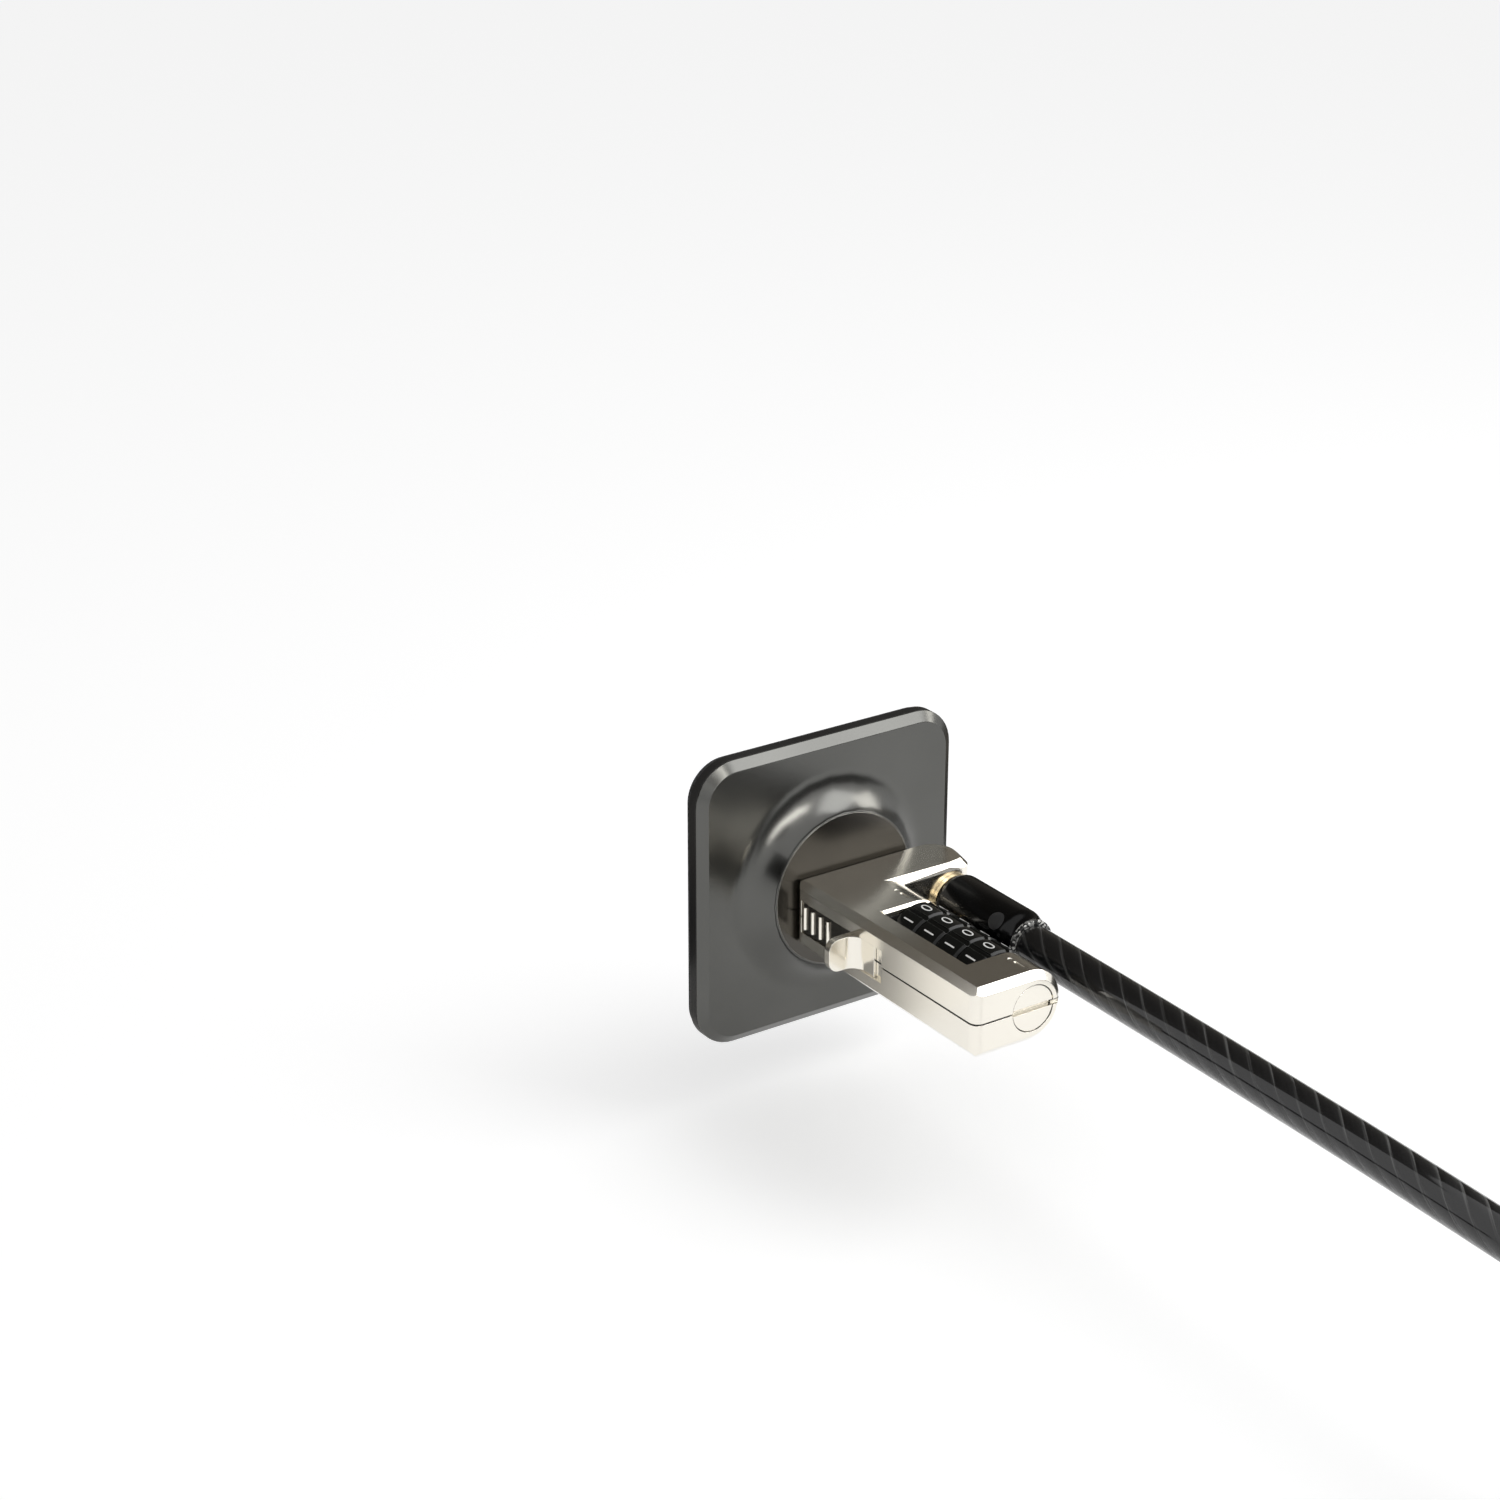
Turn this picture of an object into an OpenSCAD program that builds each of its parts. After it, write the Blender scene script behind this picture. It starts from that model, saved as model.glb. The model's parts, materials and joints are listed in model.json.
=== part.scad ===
// Laptop cable lock: a glued anchor plate, a four-dial lock head hooked into it and a sheathed steel cable.
// Millimetres. The origin is the middle of the adhesive face. +X runs to the right along the laptop's lid,
// +Y points into the lid and +Z is up, so the lock stands out along -Y. "Out" is the distance along -Y.

/* [Anchor plate] */
// Side of the square anchor plate
plate_w = 50; // [44:1:60]
// Corner radius of the anchor plate
plate_corner_r = 7; // [4:0.5:10]
// Thickness of the adhesive foam pad
pad_t = 1.2; // [0.6:0.1:2]
// How far the pad lies inside the plate's edge
pad_inset = 0.5; // [0.2:0.1:2]
// Thickness of the black base under the metal plate
base_t = 1.8; // [1:0.1:3]
// Thickness of the metal plate at its rim
face_t = 1.4; // [1:0.1:2]
// Width of the chamfer around the metal plate
plate_chamfer = 1.6; // [0.6:0.1:2.4]
// Radius at which the dome leaves the plate's face
dome_base_r = 19.4; // [17:0.2:21]
// Radius of the rim on top of the dome
dome_top_r = 13.4; // [12:0.1:15]
// Height of the dome above the plate's face
dome_h = 4.2; // [3.6:0.1:6]
// Radius of the steel disc that holds the security slot
disc_r = 13.1; // [11:0.1:13.2]
// Thickness of the slot disc
disc_t = 1.2; // [1:0.1:2]
// Length of the security slot
slot_l = 7; // [6.4:0.1:8]
// Width of the security slot
slot_w = 3; // [2.6:0.1:4]
// Radius of the room behind the slot
pocket_r = 9.5; // [6:0.5:11]

/* [Lock head] */
// Thickness of the lock head
head_t = 11.8; // [11:0.1:14]
// Height of the lock head's middle plane, below the slot's middle
mid_z = -1.7; // [-2.5:0.1:0]
// Gap between the slot disc and the head
head_gap = 0.35; // [0.2:0.05:1]
// Distance from the dial window to the head's front end
nose_l = 8.5; // [8.4:0.1:12]
// Left side of the head
head_left = -9.7; // [-12:0.1:-9]
// Sideways place of the dials' axis
axis_x = 1.4; // [1:0.1:2]
// Right side of the ear that carries the cable swivel
ear_right = 18.9; // [18:0.1:22]
// Length of the ear along the head
ear_l = 9.3; // [8:0.1:12]
// Wall of the two shells
wall = 1.2; // [0.8:0.1:1.5]
// Chamfer along the shells' outer edges
chamfer = 1.2; // [0.6:0.1:1.6]
// Chamfer at the end next to the plate
rear_chamfer = 0.6; // [0.3:0.1:0.8]
// Radius of the head's two left corners
head_corner_r = 1.6; // [1:0.1:3]
// Radius of the ear's corner next to the plate
ear_rear_r = 4.5; // [3:0.1:5]
// Radius of the ear's other corner
ear_front_r = 2.2; // [1.8:0.1:3]
// Width of the dark seam between the shells
seam_t = 0.3; // [0.2:0.05:0.6]
// Depth of the dark seam
seam_depth = 0.35; // [0.2:0.05:0.6]

/* [Dials] */
// Outside diameter of a dial
dial_d = 12; // [11.8:0.1:12.4]
// Width of a dial
dial_w = 5.05; // [4.6:0.05:5.15]
// Distance from one dial to the next
dial_pitch = 5.3; // [5.2:0.05:5.4]
// Distance from the head's plate end to the dial window
window_start = 17.35; // [17:0.05:19]
// Gap between the window and the end dials
window_gap = 0.2; // [0.1:0.05:0.4]
// Chamfer of the window's edge
window_chamfer = 0.45; // [0.2:0.05:0.8]
// Number of digits on a dial
digit_n = 10; // [6:1:12]
// Radius of the grooves between digits
groove_r = 0.45; // [0.3:0.05:0.7]
// Outside radius of the dial hubs
hub_r = 3.5; // [3.2:0.1:4]
// End wall of a hub
hub_wall = 1; // [0.6:0.1:1.4]
// Radius of the spindle
spindle_r = 1.6; // [1.2:0.1:1.9]
// Radius of the spindle's fins
fin_r = 2.2; // [2:0.1:2.4]
// Thickness of the spindle's fins
fin_t = 0.8; // [0.5:0.1:1]

/* [Reset screw] */
// Diameter of the reset screw
screw_d = 7.6; // [6.6:0.1:8.4]
// Length of the reset screw
screw_l = 6.2; // [5.5:0.1:6.8]
// Width of the screwdriver slot
screw_slot_w = 1; // [0.6:0.1:1.4]
// Depth of the screwdriver slot
screw_slot_d = 0.9; // [0.5:0.1:1.4]
// Depth of the notch in the head's rim beside the screw
rim_notch_d = 0.8; // [0.4:0.1:1.2]
// Rim left outside the notch
rim_notch_wall = 0.6; // [0.4:0.1:1.2]

/* [Index marks] */
// Radius of an index dot
mark_r = 0.4; // [0.2:0.05:0.5]
// Width of an index dash
dash_w = 0.5; // [0.3:0.05:0.8]
// Length of an index dash
dash_l = 2.2; // [1.5:0.1:2.4]
// Distance from a dot to its dash
dash_gap = 1.1; // [0.9:0.1:1.3]
// Depth of the index marks
mark_depth = 0.15; // [0.1:0.05:0.3]
// Distance from the rear dot to the dial window
mark_before = 5.2; // [4.6:0.1:6]
// Distance from the dial window to the front dot
mark_after = 2.55; // [2:0.05:2.6]

/* [Thumb slider] */
// Travel of the slider
slider_travel = 2.2; // [1.8:0.1:2.4]
// Height of the slider and its tab
slider_h = 5.5; // [4.5:0.1:6]
// Distance from the head's plate end to the slider
slider_start = 1.65; // [1.5:0.05:2.5]
// Length of the slider from its rear end to the tab's foot
slider_l = 16.8; // [16:0.1:18]
// How far the tab stands out from the head
tab_out = 4.9; // [3:0.1:7]
// Thickness of the tab
tab_t = 1.3; // [0.9:0.1:1.8]
// Radius of the hollow between the tab and its foot
tab_fillet = 2.2; // [1.2:0.1:3]
// Radius of the tab's two tip corners
tab_tip_r = 1.9; // [1:0.1:2.6]
// Number of grip ribs
rib_n = 4; // [2:1:5]
// Distance from one rib to the next
rib_pitch = 2.1; // [1.6:0.1:2.6]
// Width of a rib
rib_w = 0.8; // [0.5:0.1:1.2]
// Length of the slider's thin apron ahead of the tab
apron_l = 2.6; // [2.5:0.1:3.2]
// Thickness of the apron
apron_t = 0.4; // [0.3:0.05:0.45]

/* [Cable swivel and sleeve] */
// Sideways place of the swivel's axis
stud_x = 14.8; // [14:0.1:15.2]
// Radius of the stud's shaft
stud_r = 2; // [1.6:0.1:2.2]
// Radius of the stud's collar
collar_r = 4.1; // [3:0.1:4.4]
// Thickness of the stud's collar
collar_t = 0.8; // [0.6:0.1:1.4]
// Outside diameter of the cable sleeve
sleeve_d = 9.3; // [8.6:0.1:10.6]
// Length of the cable sleeve
sleeve_l = 20; // [18:0.5:30]
// Length of the sleeve's tapered end
taper_l = 3.4; // [2:0.1:6]
// Diameter of the sleeve's tapered end
taper_d = 7.9; // [7.7:0.1:8.5]
// Chamfer at the sleeve's end next to the ear
sleeve_edge = 0.8; // [0.4:0.1:1.2]
// Length of the lip at the sleeve's tapered end
sleeve_lip_l = 0.9; // [0.6:0.1:1.5]
// Radius of the pin that crosses the sleeve
pin_r = 1.5; // [1:0.1:1.8]
// Distance from the sleeve's tapered end to its pin
pin_from_end = 5.1; // [5:0.1:8]
// Turn of the pin around the sleeve
pin_turn = 138; // [100:1:180]

/* [Cable] */
// Outside diameter of the sheathed cable
cable_d = 6.6; // [5:0.1:7]
// Radius of the hank's inner folds, about three times the cable
fold_r = 19.8; // [18:0.1:24]
// Length of the hank over its folds
hank_l = 130; // [110:1:150]
// Gap between neighbouring turns of the hank
turn_gap = 0.7; // [0.5:0.05:1.5]
// Length of the ferrule on the end loop
ferrule_l = 22; // [16:1:30]
// Thickness of the ferrule's wall around the cable
ferrule_wall = 0.9; // [0.5:0.1:1.5]
// Width of the strap that ties the hank
tie_w = 14; // [8:1:20]
// Thickness of the strap
tie_t = 0.8; // [0.5:0.1:1.5]
// Distance from the start of the straights to the middle of the strap
tie_from_fold = 30; // [15:1:45]

/* [Hidden] */
$fn = 64;
// Clearances: turning or sliding fit, seat of a fixed piece, free gap beside a moving piece
run_gap = 0.05;
seat_gap = 0.03;
free_gap = 0.3;
// Overshoot of a cut past the face that it opens
past = 1;

// Heights of the plate's layers, as distances out from the adhesive face
base_out = pad_t + base_t;
face_out = base_out + face_t;
disc_out = face_out + dome_h;
plate_rim_t = 0.2;
dome_lip = 0.2;
flare_steps = 12;
// Share of the dome's rise that follows a quarter round, and the power of the rest
flare_round = 0.25;
flare_power = 1.9;
// Lock head
half_t = head_t / 2;
head_rear = disc_out + head_gap;
ear_front = head_rear + ear_l;
inner_t = half_t - wall;
top_z = mid_z + half_t;
// Dials and their window, as distances out
dial_n = 4;
dial_edge = 0.35;
washer_t = 0.5;
window_rear = head_rear + window_start;
window_front = window_rear + dial_pitch * (dial_n - 1) + dial_w + 2 * window_gap;
head_front = window_front + nose_l;
dial_r = dial_d / 2;
bay_r = dial_r + free_gap;
window_left = axis_x - bay_r;
// Reset screw
screw_r = screw_d / 2;
screw_recess = 0.1;
screw_gap = 0.15;
screw_rear = head_front - screw_recess - screw_l;
spindle_tip_depth = 1;
spindle_front = screw_rear + spindle_tip_depth;
reset_wire = 0.3;
reset_turns = 2;
reset_spring_r = 2.4;
// Thumb slider
slider_rear = head_rear + slider_start;
slider_foot = slider_rear + slider_l;
tab_face = slider_foot - tab_fillet;
slider_skin = 0.25;
slider_plate_t = 0.8;
carriage_t = 1.1;
carriage_lip = 0.75;
slot_end = slider_foot + slider_travel + run_gap;
apron_end = slider_foot + apron_l;
carriage_x = head_left + wall + run_gap;
// Hook and locking bar, which share the security slot
neck_gap = 0.15;
hook_t = slot_w - 2 * neck_gap;
toe_t = 1.6;
toe_reach = 1.4;
toe_step = 0.5;
toe_gap = 0.2;
hook_rear = disc_out - disc_t - toe_gap;
hook_seat_l = 5;
hook_front = head_rear + wall + hook_seat_l;
bar_past = 0.7;
bar_rear = disc_out - disc_t - bar_past;
yoke_start = 8.4;
yoke_rear = head_rear + yoke_start;
yoke_l = 3;
yoke_front = yoke_rear + yoke_l;
yoke_wall = 0.4;
yoke_low = mid_z - spindle_r - yoke_wall;
// Slider spring
spring_wire = 0.35;
spring_r = 0.85;
spring_l = 10;
spring_turns = 8;
spring_x = window_left - spring_r - free_gap;
// Swivel
collar_rear = ear_front + run_gap;
sleeve_rear = collar_rear + collar_t;
sleeve_end = sleeve_rear + sleeve_l;
sleeve_r = sleeve_d / 2;
stud_in_sleeve = 8;
ring_t = 0.6;
ring_r = stud_r + 0.6;
ring_groove = 0.4;
stud_tail = 0.5;
clip_out = head_rear + ear_rear_r - free_gap;
stud_rear = clip_out - stud_tail;
cable_depth = 3;
cable_fit = 0.1;
sleeve_lip = 0.1;
pin_bottom = 1;
pin_recess = 0.15;
// Shell pins: sideways place and distance out
shell_pin_r = 0.8;
shell_pin_roof = 0.5;
pin_from_front = 4.2;
ear_pin_shift = 0.5;
shell_pins_at = [
    [(head_left + wall + window_left) / 2, (window_rear + window_front) / 2],
    [(head_left + wall + window_left) / 2, head_front - pin_from_front],
    [(axis_x + stud_x) / 2 + ear_pin_shift, head_rear + ear_l / 2]
];

// Cable: the run's points are sideways, out past the sleeve's end, and down from the sleeve's axis
cable_r = cable_d / 2;
run_points = [
    [0, 0, 0], [0, 8, 0], [0, 30, -0.1], [0, 55, -0.4], [0, 80, -0.9], [0, 105, -1.7], [0.6, 115, -2.4],
    [2.2, 125, -3.4], [4.5, 135, -4.6], [6.8, 145, -5.9], [8.5, 154, -7.1], [9.5, 162, -8.1],
    [9.8, 171, -9.1], [9.8, 182, -10.3], [9.8, 196, -12.2], [9.8, 208, -14.1], [9.8, 218, -15.5],
    [9.8, 226, -16.4], [9.8, 231.1, -16.5]
];
// The tail's points are sideways and out, from where the hank lets go
tail_points = [[0, 0], [0, 1.5], [-0.35, 5.5], [-1.35, 9.3]];
// The end loop's points, along and beside its own axis
loop_points = [
    [1.5, -3.7], [9, -5.1], [20, -11.6], [30, -18.4], [42, -21], [53, -17.9], [60.2, -10.5], [63, 0],
    [60.2, 10.5], [53, 17.9], [42, 21], [30, 18.4], [20, 11.6], [9, 5.1], [1.5, 3.7]
];
// Hank: the outer turns go down layer by layer, and the inner turns come up again
outer_turns = 3;
inner_turns = 2;
hank_sides = 6;
run_sides = 10;
hank_lead = 3.3;
hank_pitch = cable_d + turn_gap;
outer_fold_r = fold_r + hank_pitch;
straight_l = hank_l - 2 * (outer_fold_r + cable_r);
run_last = run_points[len(run_points) - 1];
hank_x = stud_x + run_last[0] - outer_fold_r;
hank_out = sleeve_end + run_last[1] + hank_lead - straight_l;
hank_top_z = mid_z + run_last[2];
loop_z = hank_top_z + 2 * cable_r + ferrule_wall + turn_gap;
desk_z = hank_top_z - hank_pitch * (outer_turns - 1) - cable_r - tie_t - turn_gap / 2;

// ---------- shared shapes ----------

// A box given by its ranges sideways, out and up
module box(x, out, z) {
    translate([x[0], -out[1], z[0]])
        cube([x[1] - x[0], out[1] - out[0], z[1] - z[0]]);
}

// A cylinder that runs outwards between two distances
module rod(x, z, r, out) {
    translate([x, -out[0], z])
        rotate([90, 0, 0])
            cylinder(r = r, h = out[1] - out[0]);
}

// A cone that runs outwards between two distances
module cone(x, z, r, out) {
    translate([x, -out[0], z])
        rotate([90, 0, 0])
            cylinder(r1 = r[0], r2 = r[1], h = out[1] - out[0]);
}

// An outline drawn sideways and out, as thick as the range of heights
module plan(z) {
    translate([0, 0, z[0]])
        mirror([0, 1, 0])
            linear_extrude(z[1] - z[0])
                children();
}

// An outline drawn sideways and up, as long as the range of distances out
module front(out) {
    translate([0, -out[0], 0])
        rotate([90, 0, 0])
            linear_extrude(out[1] - out[0])
                children();
}

// An outline drawn out and up, as wide as the range sideways
module side(x) {
    multmatrix([[0, 0, 1, x[0]], [-1, 0, 0, 0], [0, 1, 0, 0], [0, 0, 0, 1]])
        linear_extrude(x[1] - x[0])
            children();
}

// A square with round corners, centred on the origin
module round_square(w, r) {
    square([w, w - 2 * r], center = true);
    square([w - 2 * r, w], center = true);
    for (x = [-1, 1], y = [-1, 1])
        translate([x * (w / 2 - r), y * (w / 2 - r)])
            circle(r);
}

// ---------- swept tubes ----------

function unit(v) = v / norm(v);
function heading(p, i) = unit(p[min(i + 1, len(p) - 1)] - p[max(i - 1, 0)]);
function ring(p, d, r, n, up) =
    let (s = unit(cross(d, up)), t = cross(s, d))
    [for (k = [0:n - 1]) p + r * (cos(360 * k / n) * s + sin(360 * k / n) * t)];
function next_to(k, n) = (k + 1) % n;
function band(i, n) =
    [for (k = [0:n - 1])
        each [
            [i * n + k, i * n + next_to(k, n), (i + 1) * n + next_to(k, n)],
            [i * n + k, (i + 1) * n + next_to(k, n), (i + 1) * n + k]
        ]];
function cap(first, n, flip) =
    [for (k = [1:n - 2]) flip ? [first, first + k + 1, first + k] : [first, first + k, first + k + 1]];

// A closed tube of n sides along the points p
module tube(p, r, n, up = [0, 0, 1]) {
    points = [for (i = [0:len(p) - 1]) each ring(p[i], heading(p, i), r, n, up)];
    faces = concat(
        cap(0, n, true),
        [for (i = [0:len(p) - 2]) each band(i, n)],
        cap((len(p) - 1) * n, n, false)
    );
    polyhedron(points = points, faces = faces, convexity = 10);
}

// A smooth curve through the points p, with k steps between each two
function blend(a, b, c, d, t) =
    0.5 * (2 * b + (c - a) * t + (2 * a - 5 * b + 4 * c - d) * t * t + (3 * b - a - 3 * c + d) * t * t * t);
function smooth(p, k) =
    let (m = len(p) - 1)
    [for (i = [0:m - 1], s = [0:k - 1])
        blend(i == 0 ? 2 * p[0] - p[1] : p[i - 1], p[i], p[i + 1],
            i == m - 1 ? 2 * p[m] - p[m - 1] : p[i + 2], s / k),
     p[m]];

// A coil spring that runs outwards
function spring_at(x, z, out, r, turns) =
    [for (i = [0:turns * 10])
        let (a = 36 * i, f = i / (turns * 10))
        [x + r * cos(a), -out[0] - f * (out[1] - out[0]), z + r * sin(a)]];

// ---------- the lock head's outline ----------

module head_plan(inset) {
    r = head_corner_r - min(inset, head_corner_r - 0.2);
    x = head_left + inset;
    rear = head_rear + inset;
    ahead = head_front - inset;
    translate([x + r, rear])
        square([axis_x - x - r, ahead - rear]);
    translate([x, rear + r])
        square([axis_x - x, ahead - rear - 2 * r]);
    translate([x + r, rear + r])
        circle(r);
    translate([x + r, ahead - r])
        circle(r);
}

module ear_plan(inset) {
    big = ear_rear_r - inset;
    small = ear_front_r - inset;
    right = ear_right - inset;
    rear = head_rear + inset;
    ahead = ear_front - inset;
    translate([axis_x, rear])
        square([right - big - axis_x, ahead - rear]);
    translate([axis_x, rear + big])
        square([right - small - axis_x, ahead - rear - big]);
    translate([axis_x, rear + big])
        square([right - axis_x, ahead - rear - big - small]);
    translate([right - big, rear + big])
        circle(big);
    translate([right - small, ahead - small])
        circle(small);
}

// The head's side view between two ends, with its chamfers
module head_profile(ahead) {
    polygon([
        [head_rear, mid_z - half_t + rear_chamfer], [head_rear + rear_chamfer, mid_z - half_t],
        [ahead - chamfer, mid_z - half_t], [ahead, mid_z - half_t + chamfer],
        [ahead, top_z - chamfer], [ahead - chamfer, top_z],
        [head_rear + rear_chamfer, top_z], [head_rear, top_z - rear_chamfer]
    ]);
}

// The left side's chamfers, in the front view
module left_profile() {
    polygon([
        [head_left, mid_z - half_t + chamfer], [head_left + chamfer, mid_z - half_t],
        [axis_x, mid_z - half_t], [axis_x, top_z], [head_left + chamfer, top_z],
        [head_left, top_z - chamfer]
    ]);
}

// One upright round corner of the ear, with its chamfers
module ear_post(x, out, r, cut) {
    translate([x, -out, mid_z]) {
        cylinder(r = r, h = head_t - 2 * cut, center = true, $fn = 32);
        cylinder(r = r - cut, h = head_t, center = true, $fn = 32);
    }
}

module ear_outer() {
    hull() {
        side([axis_x, axis_x + 0.1])
            head_profile(ear_front);
        ear_post(ear_right - ear_rear_r, head_rear + ear_rear_r, ear_rear_r, rear_chamfer);
        ear_post(ear_right - ear_front_r, ear_front - ear_front_r, ear_front_r, chamfer);
    }
}

module barrel_outer() {
    rod(axis_x, mid_z, half_t, [head_rear + wall, head_front - chamfer]);
    cone(axis_x, mid_z, [half_t, half_t - chamfer], [head_front - chamfer, head_front]);
}

module head_outer() {
    intersection() {
        plan([mid_z - half_t, top_z])
            head_plan(0);
        front([head_rear, head_front])
            left_profile();
        side([head_left, axis_x])
            head_profile(head_front);
    }
    ear_outer();
    barrel_outer();
}

// The room inside the shells, or what fills it when gap is above zero
module head_inner(gap) {
    inset = wall + gap;
    plan([mid_z - inner_t + gap, mid_z + inner_t - gap]) {
        head_plan(inset);
        ear_plan(inset);
    }
    rod(axis_x, mid_z, inner_t - gap, [head_rear + inset, head_front - inset]);
}

// The dial window, open to the top, the bottom and the right
module window_cut() {
    box([window_left, axis_x + half_t + past], [window_rear, window_front],
        [mid_z - half_t - past, top_z + past]);
}

// The chamfer around the window on the flat top and along the round side
module window_edge() {
    c = window_chamfer;
    for (up = [0, 1])
        translate([0, 0, up ? 0 : 2 * mid_z])
            mirror([0, 0, up ? 0 : 1])
                window_top_edge(c);
    for (end = [0, 1])
        intersection() {
            box([axis_x, axis_x + half_t + past], [window_rear - c, window_front + c],
                [mid_z - half_t - past, top_z + past]);
            difference() {
                rod(axis_x, mid_z, half_t + past, end ? [window_front, window_front + c] : [window_rear - c, window_rear]);
                cone(axis_x, mid_z, end ? [half_t - c, half_t] : [half_t, half_t - c],
                    end ? [window_front, window_front + c] : [window_rear - c, window_rear]);
            }
        }
}

module window_top_edge(c) {
    side([window_left, axis_x])
        polygon([
            [window_rear - c, top_z], [window_rear, top_z - c], [window_front, top_z - c],
            [window_front + c, top_z], [window_front + c, top_z + past], [window_rear - c, top_z + past]
        ]);
    front([window_rear - c, window_front + c])
        polygon([
            [window_left - c, top_z], [window_left, top_z - c], [window_left, top_z + past],
            [window_left - c, top_z + past]
        ]);
}

// The opening that the slider shows through
module slider_cut() {
    box([head_left - past, head_left + wall + past], [slider_rear - run_gap, slot_end],
        [mid_z - slider_h / 2 - run_gap, mid_z + slider_h / 2 + run_gap]);
    apron_cut();
}

// The shallow recess that the apron slides in
module apron_cut() {
    box([head_left - past, head_left + slider_skin + apron_t + run_gap],
        [slider_foot, apron_end + slider_travel + run_gap],
        [mid_z - slider_h / 2 - run_gap, mid_z + slider_h / 2 + run_gap]);
}

// Holes that the two shells share
module shell_cuts() {
    head_inner(0);
    window_cut();
    window_edge();
    slider_cut();
    rod(axis_x, mid_z, screw_r + screw_gap, [head_front - wall - past, head_front + past]);
    rod(stud_x, mid_z, stud_r + run_gap, [ear_front - wall - past, ear_front + past]);
    rim_notch(rim_notch_wall);
}

// The notch in the rim beside the screw, which lines up with the screw's slot
module rim_notch(rim) {
    box([axis_x, axis_x + half_t - rim], [head_front - rim_notch_d, head_front + past],
        [mid_z - screw_slot_w / 2, mid_z + screw_slot_w / 2]);
}

// ---------- anchor plate ----------

module adhesive_pad() {
    color("#202020")
        front([0, pad_t])
            round_square(plate_w - 2 * pad_inset, plate_corner_r - pad_inset);
}

module plate_base() {
    color("#141414")
        front([pad_t, base_out])
            round_square(plate_w, plate_corner_r);
}

// The hollow curve of the dome, from the plate's face to the rim, as radius and distance out
function flare(a) = [
    dome_base_r - (dome_base_r - dome_top_r) * sin(a),
    face_out + (dome_h - dome_lip) * (flare_round * (1 - cos(a)) + (1 - flare_round) * pow(sin(a), flare_power))
];

module plate_slab() {
    hull() {
        front([base_out, base_out + plate_rim_t])
            round_square(plate_w, plate_corner_r);
        front([base_out, face_out])
            round_square(plate_w - 2 * plate_chamfer, plate_corner_r - plate_chamfer);
    }
}

module dome() {
    rotate([90, 0, 0])
        rotate_extrude($fn = 96)
            polygon([
                [0, base_out], [dome_base_r, base_out],
                for (i = [0:flare_steps]) flare(90 * i / flare_steps),
                [dome_top_r, disc_out - dome_lip / 2], [dome_top_r - dome_lip / 2, disc_out], [0, disc_out]
            ]);
}

module anchor_plate() {
    color("#5a5955")
        difference() {
            union() {
                plate_slab();
                dome();
            }
            rod(0, 0, disc_r + seat_gap, [disc_out - disc_t, disc_out + past]);
            rod(0, 0, pocket_r, [base_out - past, disc_out]);
        }
}

// The security slot's outline, or one that lies inside it by a gap
module slot_outline(gap) {
    flat = slot_l - slot_w;
    for (x = [-flat / 2, flat / 2])
        translate([x, 0])
            circle(slot_w / 2 - gap);
    square([flat, slot_w - 2 * gap], center = true);
}

module slot_disc() {
    color("#3f3e3b")
        difference() {
            rod(0, 0, disc_r, [disc_out - disc_t, disc_out]);
            front([disc_out - disc_t - past, disc_out + past])
                slot_outline(0);
        }
}

// ---------- shells and chassis ----------

// One index mark on the top: a dot, and a dash on the line of the dials' digits
module index_mark(out) {
    translate([axis_x, -out, top_z - mark_depth])
        cylinder(r = mark_r, h = mark_depth + past, $fn = 24);
    box([axis_x - dash_w / 2, axis_x + dash_w / 2], [out + dash_gap, out + dash_gap + dash_l],
        [top_z - mark_depth, top_z + past]);
}

module upper_shell() {
    color("#b3a894")
        difference() {
            intersection() {
                head_outer();
                box([head_left - past, ear_right + past], [head_rear - past, head_front + past],
                    [mid_z + seam_t / 2, top_z + past]);
            }
            shell_cuts();
            hook_cut();
            index_mark(window_rear - mark_before);
            index_mark(window_front + mark_after);
        }
}

module lower_shell() {
    color("#a79d8b")
        difference() {
            intersection() {
                head_outer();
                box([head_left - past, ear_right + past], [head_rear - past, head_front + past],
                    [mid_z - half_t - past, mid_z - seam_t / 2]);
            }
            shell_cuts();
            hook_cut();
            shell_pin_holes(seat_gap);
        }
}

module shell_pin_holes(gap) {
    for (p = shell_pins_at)
        translate([p[0], -p[1], mid_z - half_t])
            cylinder(r = shell_pin_r + gap, h = half_t + inner_t - shell_pin_roof);
}

module shell_pins() {
    color("#8c8577")
        shell_pin_holes(0);
}

// The opening for the hook and the locking bar at the plate end
module hook_cut() {
    box([-slot_l / 2, slot_l / 2], [head_rear - past, head_rear + wall + past],
        [-slot_w / 2, slot_w / 2]);
}

module lock_chassis() {
    color("#1b1b1c")
        difference() {
            union() {
                head_inner(seat_gap);
                plan([mid_z - seam_t / 2, mid_z + seam_t / 2]) {
                    head_plan(seam_depth);
                    ear_plan(seam_depth);
                }
                rod_flange();
            }
            window_cut();
            slider_bay();
            apron_cut();
            bar_bay();
            rod(axis_x, mid_z, spindle_r + run_gap, [yoke_front, head_front + past]);
            rod(axis_x, mid_z, screw_r + run_gap, [screw_rear - run_gap, head_front + past]);
            rod(axis_x, mid_z, hub_r, [window_front - past, window_front + washer_t]);
            rod(axis_x, mid_z, reset_spring_r + free_gap, [window_front, screw_rear]);
            rod(stud_x, mid_z, stud_r + run_gap, [head_rear, ear_front + past]);
            rod(stud_x, mid_z, ring_r + run_gap, [head_rear, clip_out + ring_t + run_gap]);
            rim_notch(0);
            shell_pin_holes(seat_gap);
        }
}

// The seam's dark line round the barrel's front end
module rod_flange() {
    intersection() {
        rod(axis_x, mid_z, half_t - seam_depth, [window_front, head_front - seam_depth]);
        box([axis_x - past, axis_x + half_t], [window_front, head_front],
            [mid_z - seam_t / 2, mid_z + seam_t / 2]);
    }
}

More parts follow.
